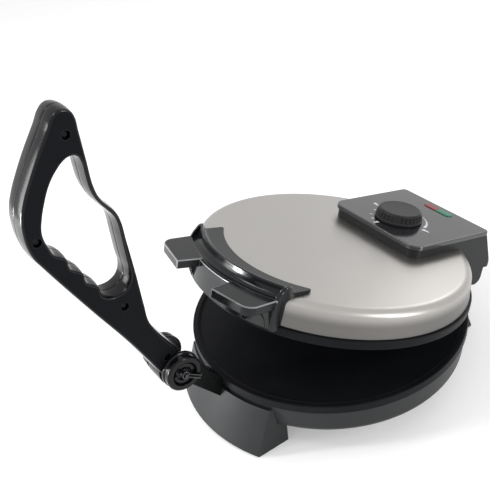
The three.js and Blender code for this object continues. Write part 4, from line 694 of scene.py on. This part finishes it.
clip_loop = [(y, z, 0) for y, z in arc((0, 0), 3.3, 25, 335, 36)]
clip_line = [(17, 1.4, 0), (12, 1.4, 0), *clip_loop, (12, -1.4, 0), (17, -1.4, 0)]
clip = wire("clip_wire", clip_line, 1)
clip_lean = Matrix.Rotation(math.radians(CLIP_TURN), 4, "X")
clip_middle = middle_of("retaining_clip")
apply_place(clip, Matrix.Translation((clip_middle.x, *HUB.yz)) @ clip_lean @ ALONG_X)
hand_over(clip, "lever", "hardware_steel", ["retaining_clip"], smooth=60)

# %% [markdown]
# ## Upper plate and dome
# The lid's plate is cast like the lower one and faces it. The dome is spun from thin steel sheet: a
# short upright wall, a crisp turn at the crease, a rolled shoulder and a flat top.

# %% Upper plate and dome
upper_rim = soften([
    (124, 1.2), (131.8, 1.2), (134, 0), (139.4, 0), (139.4, 8.1), (132.9, 8.1), (132.9, 6.7),
    (120, 6.7),
], 1.1, closed=False)
upper_plate = turn("plate_upper", [(0, 1.2), *upper_rim, (0, 6.7)], PLATE_STEPS)
hand_over(upper_plate, "lid", "plate_coating", ["upper_plate"])

DOME_TOP = 34.6
SHOULDER = (125.3, 27.2)
dome = turn("dome", [
    (0, DOME_TOP), *arc(SHOULDER, 9.6, 90, 0, 20, 7.4), (136.9, 9.2), (136.8, 8.5),
    (136.3, 8.4), (135.8, 8.5), (135.7, 9.2), *arc(SHOULDER, 8.4, 0, 90, 12, 6.2), (0, 33.4),
], 240)
hand_over(dome, "lid", "dome_steel", ["lid_dome"], smooth=40)

# %% [markdown]
# ## Front grip
# One black moulding wraps the front of the dome: a skirt, a low fence, a flange over the dome's edge
# and two lugs that the lever passes between. Its cross-section is spun through a short arc and trimmed
# by a plan with rounded corners.

# %% Grip body
GRIP_HALF = 70
FLANGE_RADIUS = 111
FLANGE_SWEEP = 39.1
DOWN = -90
grip_line = [
    (139.9, 4.9), (140.4, 4.4), (142.9, 4.4), (143.4, 4.9), (143.4, 34.6),
    (140.8, 34.6), *bend((140.8, 34.6), (134.3, 34.6), (134.3, 44), 10), (134, 44.6), (133.2, 45),
    (132.2, 44.8), (131.5, 44), (130.6, 41.8), (129.3, 40), (127.4, 39), (125.2, 38.6), (113.8, 37.6),
    (100, 36.6), (100, 35.1), *arc(SHOULDER, 10.1, 90, 0, 12, 7.9), (137.4, 8.9), (139.9, 8.9),
]
grip = sweep("grip", grip_line, DOWN - 45, DOWN + 45, 90)
flange_edge = arc((0, 0), FLANGE_RADIUS, DOWN + FLANGE_SWEEP, DOWN - FLANGE_SWEEP, 40)
plan = [
    (-GRIP_HALF, -170), (GRIP_HALF, -170),
    *soften([(GRIP_HALF, -100), flange_edge[0], flange_edge[4]], 5, 6, False), *flange_edge[5:-5],
    *soften([flange_edge[-5], flange_edge[-1], (-GRIP_HALF, -100)], 5, 6, False),
]
combine(grip, upright("grip_plan", plan, -5, 55), "INTERSECT")
print("grip body faces:", len(grip.data.polygons))

# %% [markdown]
# A lug is a thick tongue with a rounded outer corner. Below it a gusset and an arched pad run down the
# skirt. A fin closes each end of the fence, and a low bar stiffens the skirt between the lugs.

# %% Lugs, gussets and fins
LUG_TOP = 34.75
LUG_BOTTOM = 26.1
LUG_ANGLE = DOWN + 22
ARCH_HALF = 9.5
FIN_THICKNESS = 2.8


def lug():
    """The lug on the right with its gusset and arched pad."""
    plan_line = [
        (28, -165), (61, -158.4), *bend((61, -158.4), (70, -156.4), (71.2, -147)),
        *arc((0, 0), 141.6, DOWN + 29.4, DOWN + 9.4, 16),
    ]
    piece = upright("lug", plan_line, LUG_BOTTOM, LUG_TOP)
    ease(piece, 1, 50, 3)
    gusset_line = [(142, 6), (143.1, 6), (151, 27.3), (142, 27.3)]
    join(piece, ease(sweep("gusset", gusset_line, DOWN + 16.2, DOWN + 27.6, 14), 0.8, 50))
    arch_line = [(-ARCH_HALF, 0), (ARCH_HALF, 0), *arc((0, 14), ARCH_HALF, 0, 180, 20, 8.5)]
    arch = crosswise("arch", arch_line, 130, 170)
    apply_place(arch, Matrix.Rotation(math.radians(LUG_ANGLE), 4, "Z"))
    cone_line = [(142.4, 6.4), (144, 6.4), (150.6, 24), (142.4, 24)]
    combine(arch, sweep("cone", cone_line, DOWN + 17.1, DOWN + 26.9, 14), "INTERSECT")
    return join(piece, arch)


def fin():
    """The fin that closes the fence at its right end and runs down the skirt."""
    fin_line = [
        (140.6, 5), (144.4, 5), (144.4, 31), *bend((144.4, 31), (142.6, 38), (135.6, 45.2)),
        (131.7, 45.2), (131.7, 35), (140.6, 35),
    ]
    piece = sweep("fin", fin_line, DOWN + 24, DOWN + 38, 16)
    ends = block("fin_ends", (GRIP_HALF - FIN_THICKNESS, -170, 0), (GRIP_HALF + 0.3, -90, 50))
    return combine(piece, ends, "INTERSECT")


ledge_line = soften([(142, 26.6), (145.4, 26.6), (145.4, 33.6), (142, 33.6)], 0.6, 3)
join(grip, sweep("ledge", ledge_line, DOWN - 11.3, DOWN + 11.3, 22))
join(grip, lug(), flip(lug()), fin(), flip(fin()))
for i in (1, 2):
    spot = middle_of(f"grip_screw_{i}", LID_BENCH)
    bore_screw(grip, spot, 30, 37.2)
hand_over(grip, "lid", "grip_black", ["front_grip"], smooth=30)

# %% [markdown]
# ## Control box
# The box stands on the dome and reaches down behind it to the hinge, where two ears hold the pin. A
# side outline is pushed across, trimmed by a plan, hollowed and fitted to the dome.

# %% Control box
BOX_HALF = 59.5
BOX_FRONT, BOX_RIDGE, BOX_REAR = 49.5, 156.2, 174
FRONT_CORNER, REAR_CORNER = 10.8, 5
EAR_INNER = 50.5
BOX_WALL = 2.6
PANEL_BOTTOM = 43


def side_outline(inset):
    """The box seen from the side, as (y, z) points; an inset outline is open above and below."""
    slope = (BOX_REAR - BOX_RIDGE) / (PANEL_BOTTOM - 3)
    top = 47.7 if inset else 42.7
    front, rear = BOX_FRONT + inset, BOX_REAR - inset
    ridge = BOX_RIDGE - inset - (top - PANEL_BOTTOM) * slope
    line = [(front, 0), (front, top), (ridge, top), (rear, 3)]
    if inset:
        return line + [(rear, -21), (front, -21)]
    return line + [(164.1, 3), *arc((154.8, -7), 9, 0, -180, 24), (145.8, 0)]


def rounded_plan(half, front, rear, corner, inset=0, steps=(10, 6)):
    """A plan whose front corners have the given radius and whose rear corners have their own."""
    front_left = arc((-half + corner, front + corner), corner - inset, 180, 270, steps[0])
    rear_right = arc((half - REAR_CORNER, rear - REAR_CORNER), REAR_CORNER - inset, 0, 90, steps[1])
    front_right, rear_left = ([(-x, y) for x, y in line[::-1]] for line in (front_left, rear_right))
    return front_left + front_right + rear_right + rear_left


def shaped(name, inset, half, low):
    """The side outline pushed across and trimmed by the plan."""
    piece = crosswise(name, side_outline(inset), -half, half)
    plan_line = rounded_plan(BOX_HALF, BOX_FRONT, BOX_REAR, FRONT_CORNER, inset)
    return combine(piece, upright("box_plan", plan_line, low, 60), "INTERSECT")


box = ease(shaped("control_housing", 0, BOX_HALF, -30), 1, 38, 3)
combine(box, shaped("middle_room", BOX_WALL + 0.1, EAR_INNER, -30))
combine(box, shaped("wide_room", BOX_WALL, BOX_HALF - BOX_WALL, 10.6))
join(box, block("cross_wall", (-58.2, 141.3, 9.8), (58.2, 147.7, 34.6)))
join(box, block("rest_rib", (-27, 141.6, 1.8), (27, 147.4, 10.6)))
combine(box, turn("lid_room", [
    (0, -25), (139.7, -25), (139.7, 8.7), (137.2, 8.7), *arc(SHOULDER, 9.9, 0, 90, 12, 7.7),
    (0, 34.9),
], 220))
combine(box, rod("pin_bore", PIN_BORE + 0.05, (-56.9, HINGE.y, 0), (56.9, HINGE.y, 0)))
hand_over(box, "lid", "body_grey", ["control_box"])

# %% [markdown]
# ## Control panel and lenses
# The panel is a thick gloss plate with rounded corners and a hole for the knob's shaft. A pill-shaped
# slot in it holds a red and a green lens side by side.

# %% Panel and lenses
PANEL_TOP = 47.8
PANEL_HALF = 61.7
PANEL_FRONT = 47.3
PANEL_CORNER = 13
SHAFT_BORE = 3.35
LENS_Y = 144.5
KNOB_CENTRE = (0, 84)


def pill(name, half_length, radius, low, high):
    """An upright pill-shaped block round the lenses' place."""
    right = arc((half_length - radius, LENS_Y), radius, -90, 90, 16)
    left = arc((-half_length + radius, LENS_Y), radius, 90, 270, 16)
    return upright(name, right + left, low, high)


panel_plan = rounded_plan(PANEL_HALF, PANEL_FRONT, BOX_RIDGE, PANEL_CORNER, steps=(12, 8))
panel = upright("panel_plate", panel_plan, PANEL_BOTTOM, PANEL_TOP)
ease(panel, 1, 60, 4)
combine(panel, pill("lens_slot", 18.8, 5.05, 40, 50))
combine(panel, rod("shaft_hole", SHAFT_BORE, (*KNOB_CENTRE, 40), (*KNOB_CENTRE, 50)))
hand_over(panel, "lid", "panel_black", ["control_panel"], smooth=30)

for name, side in (("red_lens", -1), ("green_lens", 1)):
    lens = ease(pill(f"{name}_cap", 18.5, 4.75, PANEL_BOTTOM, 48.8), 0.9, 60, 4)
    low, high = sorted((side * 0.15, side * 30))
    combine(lens, block("lens_half", (low, 130, 40), (high, 160, 50)), "INTERSECT")
    hand_over(lens, "lid", name, [name], smooth=40)

# %% [markdown]
# ## Dial marks
# The marks round the knob are a thin white inlay: a wedge at each end of its travel, a third wedge and
# three ticks on the left, and an arc that swells towards the right.

# %% Dial marks
MARK_DEPTH = 0.12


def polar(radius, angle):
    """A point on the panel by its distance and direction from the knob."""
    return arc(KNOB_CENTRE, radius, angle, angle, 1)[0]


def mark(outline):
    """One inlaid mark."""
    return upright("dial_mark", outline, PANEL_TOP, PANEL_TOP + MARK_DEPTH)


def wedge_mark(near, far, angle, near_width, far_width):
    """A straight mark that points at the knob and may widen or narrow outwards."""
    middle = Vector(KNOB_CENTRE)
    out = Vector(polar(1, angle)) - middle
    across = Vector((-out.y, out.x))
    inner, outer = middle + out * near, middle + out * far
    return mark([
        tuple(inner - across * near_width / 2), tuple(outer - across * far_width / 2),
        tuple(outer + across * far_width / 2), tuple(inner + across * near_width / 2),
    ])


swell = [(29.4 + 0.025 * k, 75 - 56 * k / 12, 0.25 + 0.1 * k) for k in range(13)]
marks = [
    wedge_mark(34, 42, 172.6, 1, 3.6), wedge_mark(31, 39, 8, 3.6, 1),
    wedge_mark(26.5, 32.5, 265.6, 3.2, 1.2),
    *[wedge_mark(26.5, 29.5, angle, 1.6, 1.6) for angle in (195.4, 223.5, 245.6)],
    mark([polar(r + w, a) for r, a, w in swell] + [polar(r - w, a) for r, a, w in reversed(swell)]),
]
choose(marks[0])
for piece in marks:
    piece.select_set(True)
bpy.ops.object.join()
dial_marks = named("dial_marks")
hand_over(dial_marks, "lid", "panel_black")

# %% [markdown]
# ## Knob
# A fluted outline is pushed up and narrowed, and a turned foot and a turned top are joined to it.

# %% Knob
FLUTES = 32
PER_FLUTE = 8
KNOB_Z = 48.3


def fluted(radius, depth):
    """A round outline with shallow flutes."""
    points = []
    for k in range(FLUTES * PER_FLUTE):
        wave = 0.5 - 0.5 * math.cos(2 * math.pi * k / PER_FLUTE)
        angle = 2 * math.pi * k / (FLUTES * PER_FLUTE)
        r = radius - depth * wave ** 1.5
        points.append((r * math.cos(angle), r * math.sin(angle)))
    return points


knob = upright("knob_cap", fluted(24.1, 1.3), 2, 9.2, 0.925)
foot_line = [(0, 0), (23.6, 0), (24.3, 0.4), (24.5, 1), (24.4, 2.2), (23.7, 2.9), (0, 2.9)]
top_line = [
    (0, 8.6), (21.6, 8.6), (22, 9.3), (21.7, 10.1), (20.9, 10.7), (19.8, 11), (18.6, 11), (18, 10.8),
    (0, 10.6),
]
join(knob, turn("knob_foot", foot_line, 128), turn("knob_top", top_line, 128))
combine(knob, rod("shaft_socket", 3.3, (0, 0, -1), (0, 0, 5.5)))
apply_place(knob, Matrix.Translation((*KNOB_CENTRE, KNOB_Z)))
hand_over(knob, "knob", "panel_black", ["knob"], smooth=35)

# %% [markdown]
# ## Light
# Large soft panels light the black plastic: they show in its gloss as clean white streaks, and a pale
# room keeps the shadows open.

# %% Light
scene = bpy.context.scene
scene.view_settings.view_transform = "Standard"


def lamp(name, place, target, width, height, watts):
    """A soft rectangular panel that faces a target."""
    bpy.ops.object.light_add(type="AREA", location=place)
    light = named(name)
    light.data.shape = "RECTANGLE"
    light.data.size = width
    light.data.size_y = height
    light.data.energy = watts
    aim = Vector(target) - Vector(place)
    light.rotation_euler = aim.to_track_quat("-Z", "Y").to_euler()
    return light


lamp("key_panel", (-0.35, -0.75, 1.3), (0, 0, 0.1), 0.5, 0.35, 6)
lamp("strip_panel", (-0.75, -1.07, 0.34), (0, -0.15, 0.2), 0.3, 0.6, 4.2)
lamp("low_panel", (-0.58, -1.12, 0.13), (0, -0.1, 0.05), 0.1, 0.22, 18)
lamp("side_panel", (1.2, 0.5, 0.7), (0, 0, 0.12), 0.3, 0.9, 7.5)
lamp("back_panel", (-0.5, 1.4, 0.72), (0.03, 0.13, 0.15), 0.6, 0.4, 2.1)

# %% [markdown]
# ## A small language for finishes
# A finish is a node tree. Written as sums and products it reads like the pattern that it makes, so one
# small class wraps an output of a node, and adding or multiplying two of them adds a Math node.

# %% Node helpers


class Value:
    """An output of a node. Arithmetic on it adds Math nodes."""

    def __init__(self, tree, socket):
        self.tree = tree
        self.socket = socket

    def math(self, operation, first, second):
        return self.tree.node("ShaderNodeMath", {"operation": operation}, {0: first, 1: second})

    def __add__(self, other):
        return self.math("ADD", self, other)

    def __sub__(self, other):
        return self.math("SUBTRACT", self, other)

    def __mul__(self, other):
        return self.math("MULTIPLY", self, other)

    __radd__ = __add__
    __rmul__ = __mul__


class Tree:
    """The nodes of a material or of the world."""

    def __init__(self, owner):
        owner.use_nodes = True
        self.nodes = owner.node_tree.nodes
        self.links = owner.node_tree.links

    def node(self, kind, settings, inputs, output=0):
        """Any node: its settings first, then the values or links of its sockets."""
        made = self.nodes.new(kind)
        for key, value in settings.items():
            setattr(made, key, value)
        for key, value in inputs.items():
            self.plug(made.inputs[key], value)
        return Value(self, made.outputs[output])

    def plug(self, socket, value):
        """Link a socket to an output, or give it a plain value."""
        if isinstance(value, Value):
            self.links.new(value.socket, socket)
        else:
            socket.default_value = value


class Finish(Tree):
    """A material that is built node by node from a Principled shader."""

    def __init__(self, name, **uniform):
        self.material = bpy.data.materials.new(name)
        super().__init__(self.material)
        self.shader = self.nodes["Principled BSDF"]
        for socket, value in uniform.items():
            self.set(socket.replace("_", " "), value)

    def set(self, socket, value):
        """Give one of the shader's own sockets a value."""
        self.plug(self.shader.inputs[socket], value)

    def place(self, centre=(0, 0, 0), lean=0.0, stretch=(1, 1, 1)):
        """Object coordinates counted from a centre, in a frame that leans about X."""
        where = self.node("ShaderNodeTexCoord", {}, {}, "Object")
        return self.node("ShaderNodeMapping", {"vector_type": "TEXTURE"}, {
            "Vector": where, "Location": centre, "Rotation": (lean, 0, 0), "Scale": stretch,
        })

    def noise(self, size, detail=2.0, where=None):
        """Noise between 0 and 1 whose features are about this size in metres."""
        return self.node("ShaderNodeTexNoise", {}, {
            "Vector": where or self.place(), "Scale": 1 / size, "Detail": detail,
        })

    def between(self, factor, first, second):
        """A colour between two, by a factor."""
        first, second = (c if isinstance(c, Value) else (*c, 1) for c in (first, second))
        return self.node("ShaderNodeMix", {"data_type": "RGBA"}, {0: factor, 6: first, 7: second}, 2)

    def edges(self, width):
        """0 on open faces and up to 1 where the surface turns over an edge."""
        rounded = self.node("ShaderNodeBevel", {"samples": 4}, {"Radius": width})
        plain = self.node("ShaderNodeNewGeometry", {}, {}, "Normal")
        product = {"operation": "DOT_PRODUCT"}
        together = self.node("ShaderNodeVectorMath", product, {0: rounded, 1: plain}, "Value")
        return self.ramp(together, 0.98, 0.8)

    def ramp(self, value, start, end, kind="LINEAR"):
        """0 where a value is at its start and 1 where it has reached its end."""
        return self.node("ShaderNodeMapRange", {"interpolation_type": kind}, {
            "Value": value, "From Min": start, "From Max": end,
        })

    def bump(self, height, depth):
        """Press a height pattern into the surface, with its depth in metres."""
        self.set("Normal", self.node("ShaderNodeBump", {}, {"Height": height, "Distance": depth}))


def moulded(name, dark, light, roughness, shine=0.25, grain=0.0006, depth=0.000012):
    """Moulded plastic or paint: a faint mottle, a fine grain, uneven gloss and rubbed edges, lightened
    partly as wear and partly as a painted highlight.
    """
    finish = Finish(name, Specular_IOR_Level=shine)
    mottle = finish.noise(0.02, 3.0)
    fine = finish.noise(grain, 1.0)
    rubbed = finish.edges(0.0008) * mottle
    # Rubbed edges are lighter: partly wear, partly a painted highlight.
    wear_and_highlight = tuple(min(1, channel * 4 + 0.04) for channel in light)
    finish.set("Base Color", finish.between(rubbed, finish.between(mottle, dark, light), wear_and_highlight))
    finish.set("Roughness", roughness + (mottle - 0.5) * 0.08 + (fine - 0.5) * 0.06 + rubbed * 0.06)
    finish.bump(fine, depth)
    return finish.material


print("node helpers ready")

# %% [markdown]
# ## Plastics, rubber and paint
# Polished phenolic looks black and mirrors the room, so its colour is nearly black and its roughness
# low. The lever's flat faces are matter than its palm side, and the grip's upper edges carry a pale
# painted highlight. The feet, shell and box are dark grey.

# %% Plastics, rubber and paint
coats = {
    "handle_black": moulded(
        "phenolic_polished", (0.004, 0.004, 0.005), (0.006, 0.006, 0.008), 0.14, 0.22),
    "grip_black": moulded("phenolic_satin", (0.007, 0.008, 0.009), (0.011, 0.012, 0.013), 0.16, 0.25),
    "body_grey": moulded("plastic_grey", (0.009, 0.010, 0.011), (0.014, 0.015, 0.016), 0.4, 0.26),
    "panel_black": moulded("plastic_gloss", (0.012, 0.012, 0.015), (0.017, 0.017, 0.020), 0.12, 1.0),
    "arm_paint": moulded(
        "paint_black", (0.004, 0.005, 0.005), (0.007, 0.008, 0.008), 0.26, 0.1, 0.0012),
    "pad_rubber": moulded(
        "rubber", (0.010, 0.010, 0.010), (0.018, 0.018, 0.018), 0.7, 0.2, 0.0005, 0.00003),
    "ceramic": moulded("ceramic_sleeve", (0.74, 0.72, 0.68), (0.80, 0.78, 0.74), 0.55),
}
handle_side = moulded(
    "phenolic_matt", (0.004, 0.005, 0.006), (0.007, 0.008, 0.010), 0.42, 0.05, 0.0005, 0.00002)
knob_plastic = moulded(
    "knob_plastic", (0.010, 0.010, 0.011), (0.014, 0.014, 0.015), 0.4, 0.2, 0.0005, 0.00002)
# A pale finish for the grip's upper edges: a painted highlight.
grip_painted_highlight = moulded("phenolic_painted_highlight", (0.08, 0.08, 0.085), (0.34, 0.34, 0.35), 0.2, 0.5)
mark_white = moulded("inlay_white", (0.70, 0.70, 0.74), (0.80, 0.80, 0.84), 0.5)
print("plastic finishes:", len(coats) + 4)

# %% [markdown]
# ## Metals, coating and lenses
# The dome is stainless steel, brushed in fine rings as it was spun. The plates carry a dark sprayed
# coating with a pebbled surface. Wires, pins and screws are bright zinc with fine drawing lines.

# %% Metals, coating and lenses
DOME_AXIS = LID_BENCH @ Vector((0, 0, DOME_TOP))
LINE_DEPTH = 0.000004


def metal(name, dark, light, roughness, lines, depth, painted_shade_part=None):
    """Metal with a fine line pattern, cloudy gloss and brighter edges; a part of it may get painted
    shade.
    """
    finish = Finish(name, Metallic=1.0)
    pattern = lines(finish)
    cloud = finish.noise(0.05, 3.0)
    rubbed = finish.edges(0.0005) * cloud
    bright = tuple(min(1, channel * 1.2) for channel in light)
    shade = finish.between(pattern * 0.6 + cloud * 0.4, dark, light)
    # Painted shade: the chosen part is darkened towards 0.42 of the dark tone.
    if painted_shade_part:
        shade = finish.between(painted_shade_part(finish), shade, tuple(channel * 0.42 for channel in dark))
    finish.set("Base Color", finish.between(rubbed, shade, bright))
    finish.set("Roughness", roughness + (pattern - 0.5) * 0.10 + (cloud - 0.5) * 0.06)
    finish.bump(pattern, depth)
    return finish.material


def rings(finish):
    """Fine rings round the dome's axis: noise by the distance from it."""
    where = finish.place(DOME_AXIS, -LID_AJAR, (1, 1, 1000))
    distance = finish.node("ShaderNodeVectorMath", {"operation": "LENGTH"}, {0: where}, "Value")
    return finish.node("ShaderNodeTexNoise", {"noise_dimensions": "1D"}, {
        "W": distance, "Scale": 900.0, "Detail": 3.0,
    })


def wall(finish):
    """1 on the dome's upright wall, which is darkened as painted shade, and 0 on its top."""
    local = finish.place(DOME_AXIS, -LID_AJAR)
    height = finish.node("ShaderNodeSeparateXYZ", {}, {0: local}, "Z")
    return finish.ramp(height, -0.003, -0.016, "SMOOTHSTEP")


def drawn(stretch):
    """Fine lines along one direction: noise stretched out along it."""
    return lambda finish: finish.noise(0.0008, 2.0, finish.place(stretch=stretch))


def coating(name):
    """A sprayed dark coating on cast metal: faint speckle, a pebbled surface and rubbed edges."""
    finish = Finish(name, Specular_IOR_Level=0.08)
    pebble = finish.noise(0.0011, 2.0)
    cloud = finish.noise(0.03, 3.0)
    rubbed = finish.edges(0.001) * cloud
    shade = finish.between(cloud, (0.004, 0.0045, 0.006), (0.009, 0.0095, 0.011))
    finish.set("Base Color", finish.between(rubbed, shade, (0.03, 0.03, 0.032)))
    finish.set("Roughness", 0.42 + (pebble - 0.5) * 0.2 + (cloud - 0.5) * 0.08)
    finish.bump(pebble, 0.00004)
    return finish.material


def lens_plastic(name, dark, light):
    """Coloured plastic over a lamp: glossy, with the small cells of a moulded diffuser."""
    finish = Finish(name, Coat_Weight=0.1, Coat_Roughness=0.08, Specular_IOR_Level=0.3)
    cells = finish.noise(0.0025, 1.0)
    finish.set("Base Color", finish.between(cells, dark, light))
    finish.set("Roughness", 0.18 + cells * 0.06)
    finish.bump(cells, 0.00003)
    return finish.material


coats.update({
    # The dome's upright wall is darkened as painted shade.
    "dome_steel": metal(
        "steel_dome", (0.39, 0.375, 0.358), (0.47, 0.455, 0.436), 0.35, rings, 0.000003, wall),
    "hardware_steel": metal(
        "zinc_bright", (0.5, 0.51, 0.52), (0.62, 0.63, 0.64), 0.25, drawn((8, 1, 1)), LINE_DEPTH),
    "element_sheath": metal(
        "sheath_blued", (0.12, 0.1, 0.09), (0.26, 0.22, 0.19), 0.5, drawn((1, 1, 1)), 0.00001),
    "steel_black": metal(
        "wire_blackened", (0.04, 0.04, 0.042), (0.08, 0.08, 0.084), 0.2, drawn((8, 1, 1)), LINE_DEPTH),
    "tin": metal(
        "tin_sheet", (0.52, 0.52, 0.53), (0.62, 0.62, 0.63), 0.38, drawn((20, 1, 1)), LINE_DEPTH),
    "plate_coating": coating("coating_dark"),
    "red_lens": lens_plastic("lens_red", (0.17, 0.012, 0.014), (0.22, 0.022, 0.022)),
    "green_lens": lens_plastic("lens_green", (0.002, 0.13, 0.065), (0.005, 0.19, 0.10)),
})
glass = Finish("lamp_glass_clear", Transmission_Weight=1.0, IOR=1.5)
glass_grain = glass.noise(0.001, 1.0)
glass.set("Base Color", glass.between(glass_grain, (0.85, 0.78, 0.68), (0.92, 0.86, 0.78)))
glass.set("Roughness", 0.04 + glass_grain * 0.04)
coats["lamp_glass"] = glass.material
print("finishes:", len(coats))

# %% [markdown]
# ## Dressing
# Each CAD node takes the finish of its slot in the record, and each new piece that of the slot it was
# handed over with. The lever's flat faces are chosen by where they look, and the grip's painted
# highlight goes on edges chosen by how narrow their faces are and how high they stand.

# %% Dressing
# Metres across, more than the strips of a rounded edge have
NARROW = 0.00056
for subpart in frame["record"]["subparts"]:
    for place in frame["nodes"][subpart["node"]].material_slots:
        place.material = coats[subpart["material_slot"]]
for piece, slot in finished.items():
    piece.data.materials.clear()
    piece.data.materials.append(coats[slot])
for i in range(1, 5):
    frame["nodes"][f"handle_screw_{i}"].material_slots[0].material = coats["arm_paint"]
for half in (handle_right, handle_left):
    half.data.materials.append(handle_side)
    for face in half.data.polygons:
        face.material_index = int(abs(face.normal.x) > 0.97)
# Painted highlight: narrow faces high on the grip take the pale finish.
grip.data.materials.append(grip_painted_highlight)
for face in grip.data.polygons:
    corners = [grip.data.vertices[k].co for k in face.vertices]
    longest = max((a - b).length for a, b in zip(corners, corners[1:] + corners[:1]))
    high = (LID_BENCH.inverted() @ face.center).z > LUG_BOTTOM + 2
    face.material_index = int(high and face.area < NARROW * longest)
knob.data.materials[0] = knob_plastic
dial_marks.data.materials[0] = mark_white
clip.data.materials[0] = coats["steel_black"]
frame["nodes"]["pivot_pin"].material_slots[0].material = coats["steel_black"]
print("dressed:", len(finished), "pieces")

# %% [markdown]
# ## Room and floor
# The room is white where the camera or a reflection sees it and a little dimmer as a lamp. The floor is
# a plain pale sheet that keeps the soft shadow.

# %% Room and floor
scene.world = bpy.data.worlds.new("pale_room")
air = Tree(scene.world)
seen = air.node("ShaderNodeLightPath", {}, {}, "Is Camera Ray")
for name in ("Is Glossy Ray", "Is Transmission Ray"):
    rays = air.node("ShaderNodeLightPath", {}, {}, name)
    seen = seen.math("MAXIMUM", seen, rays)
level = air.node("ShaderNodeMapRange", {}, {"Value": seen, "To Min": 0.7, "To Max": 1.0})
air.plug(air.nodes["Background"].inputs["Strength"], level)
air.plug(air.nodes["Background"].inputs["Color"], (1, 1, 1, 1))

bpy.ops.mesh.primitive_plane_add(size=12, location=(0, 0, 0))
floor = named("floor")
sheet = Finish("floor_sheet", Roughness=0.9, Emission_Strength=0.2)
sheet.set("Base Color", (0.9, 0.9, 0.9, 1))
sheet.set("Emission Color", (1, 1, 1, 1))
floor.data.materials.append(sheet.material)
print("room and floor ready")
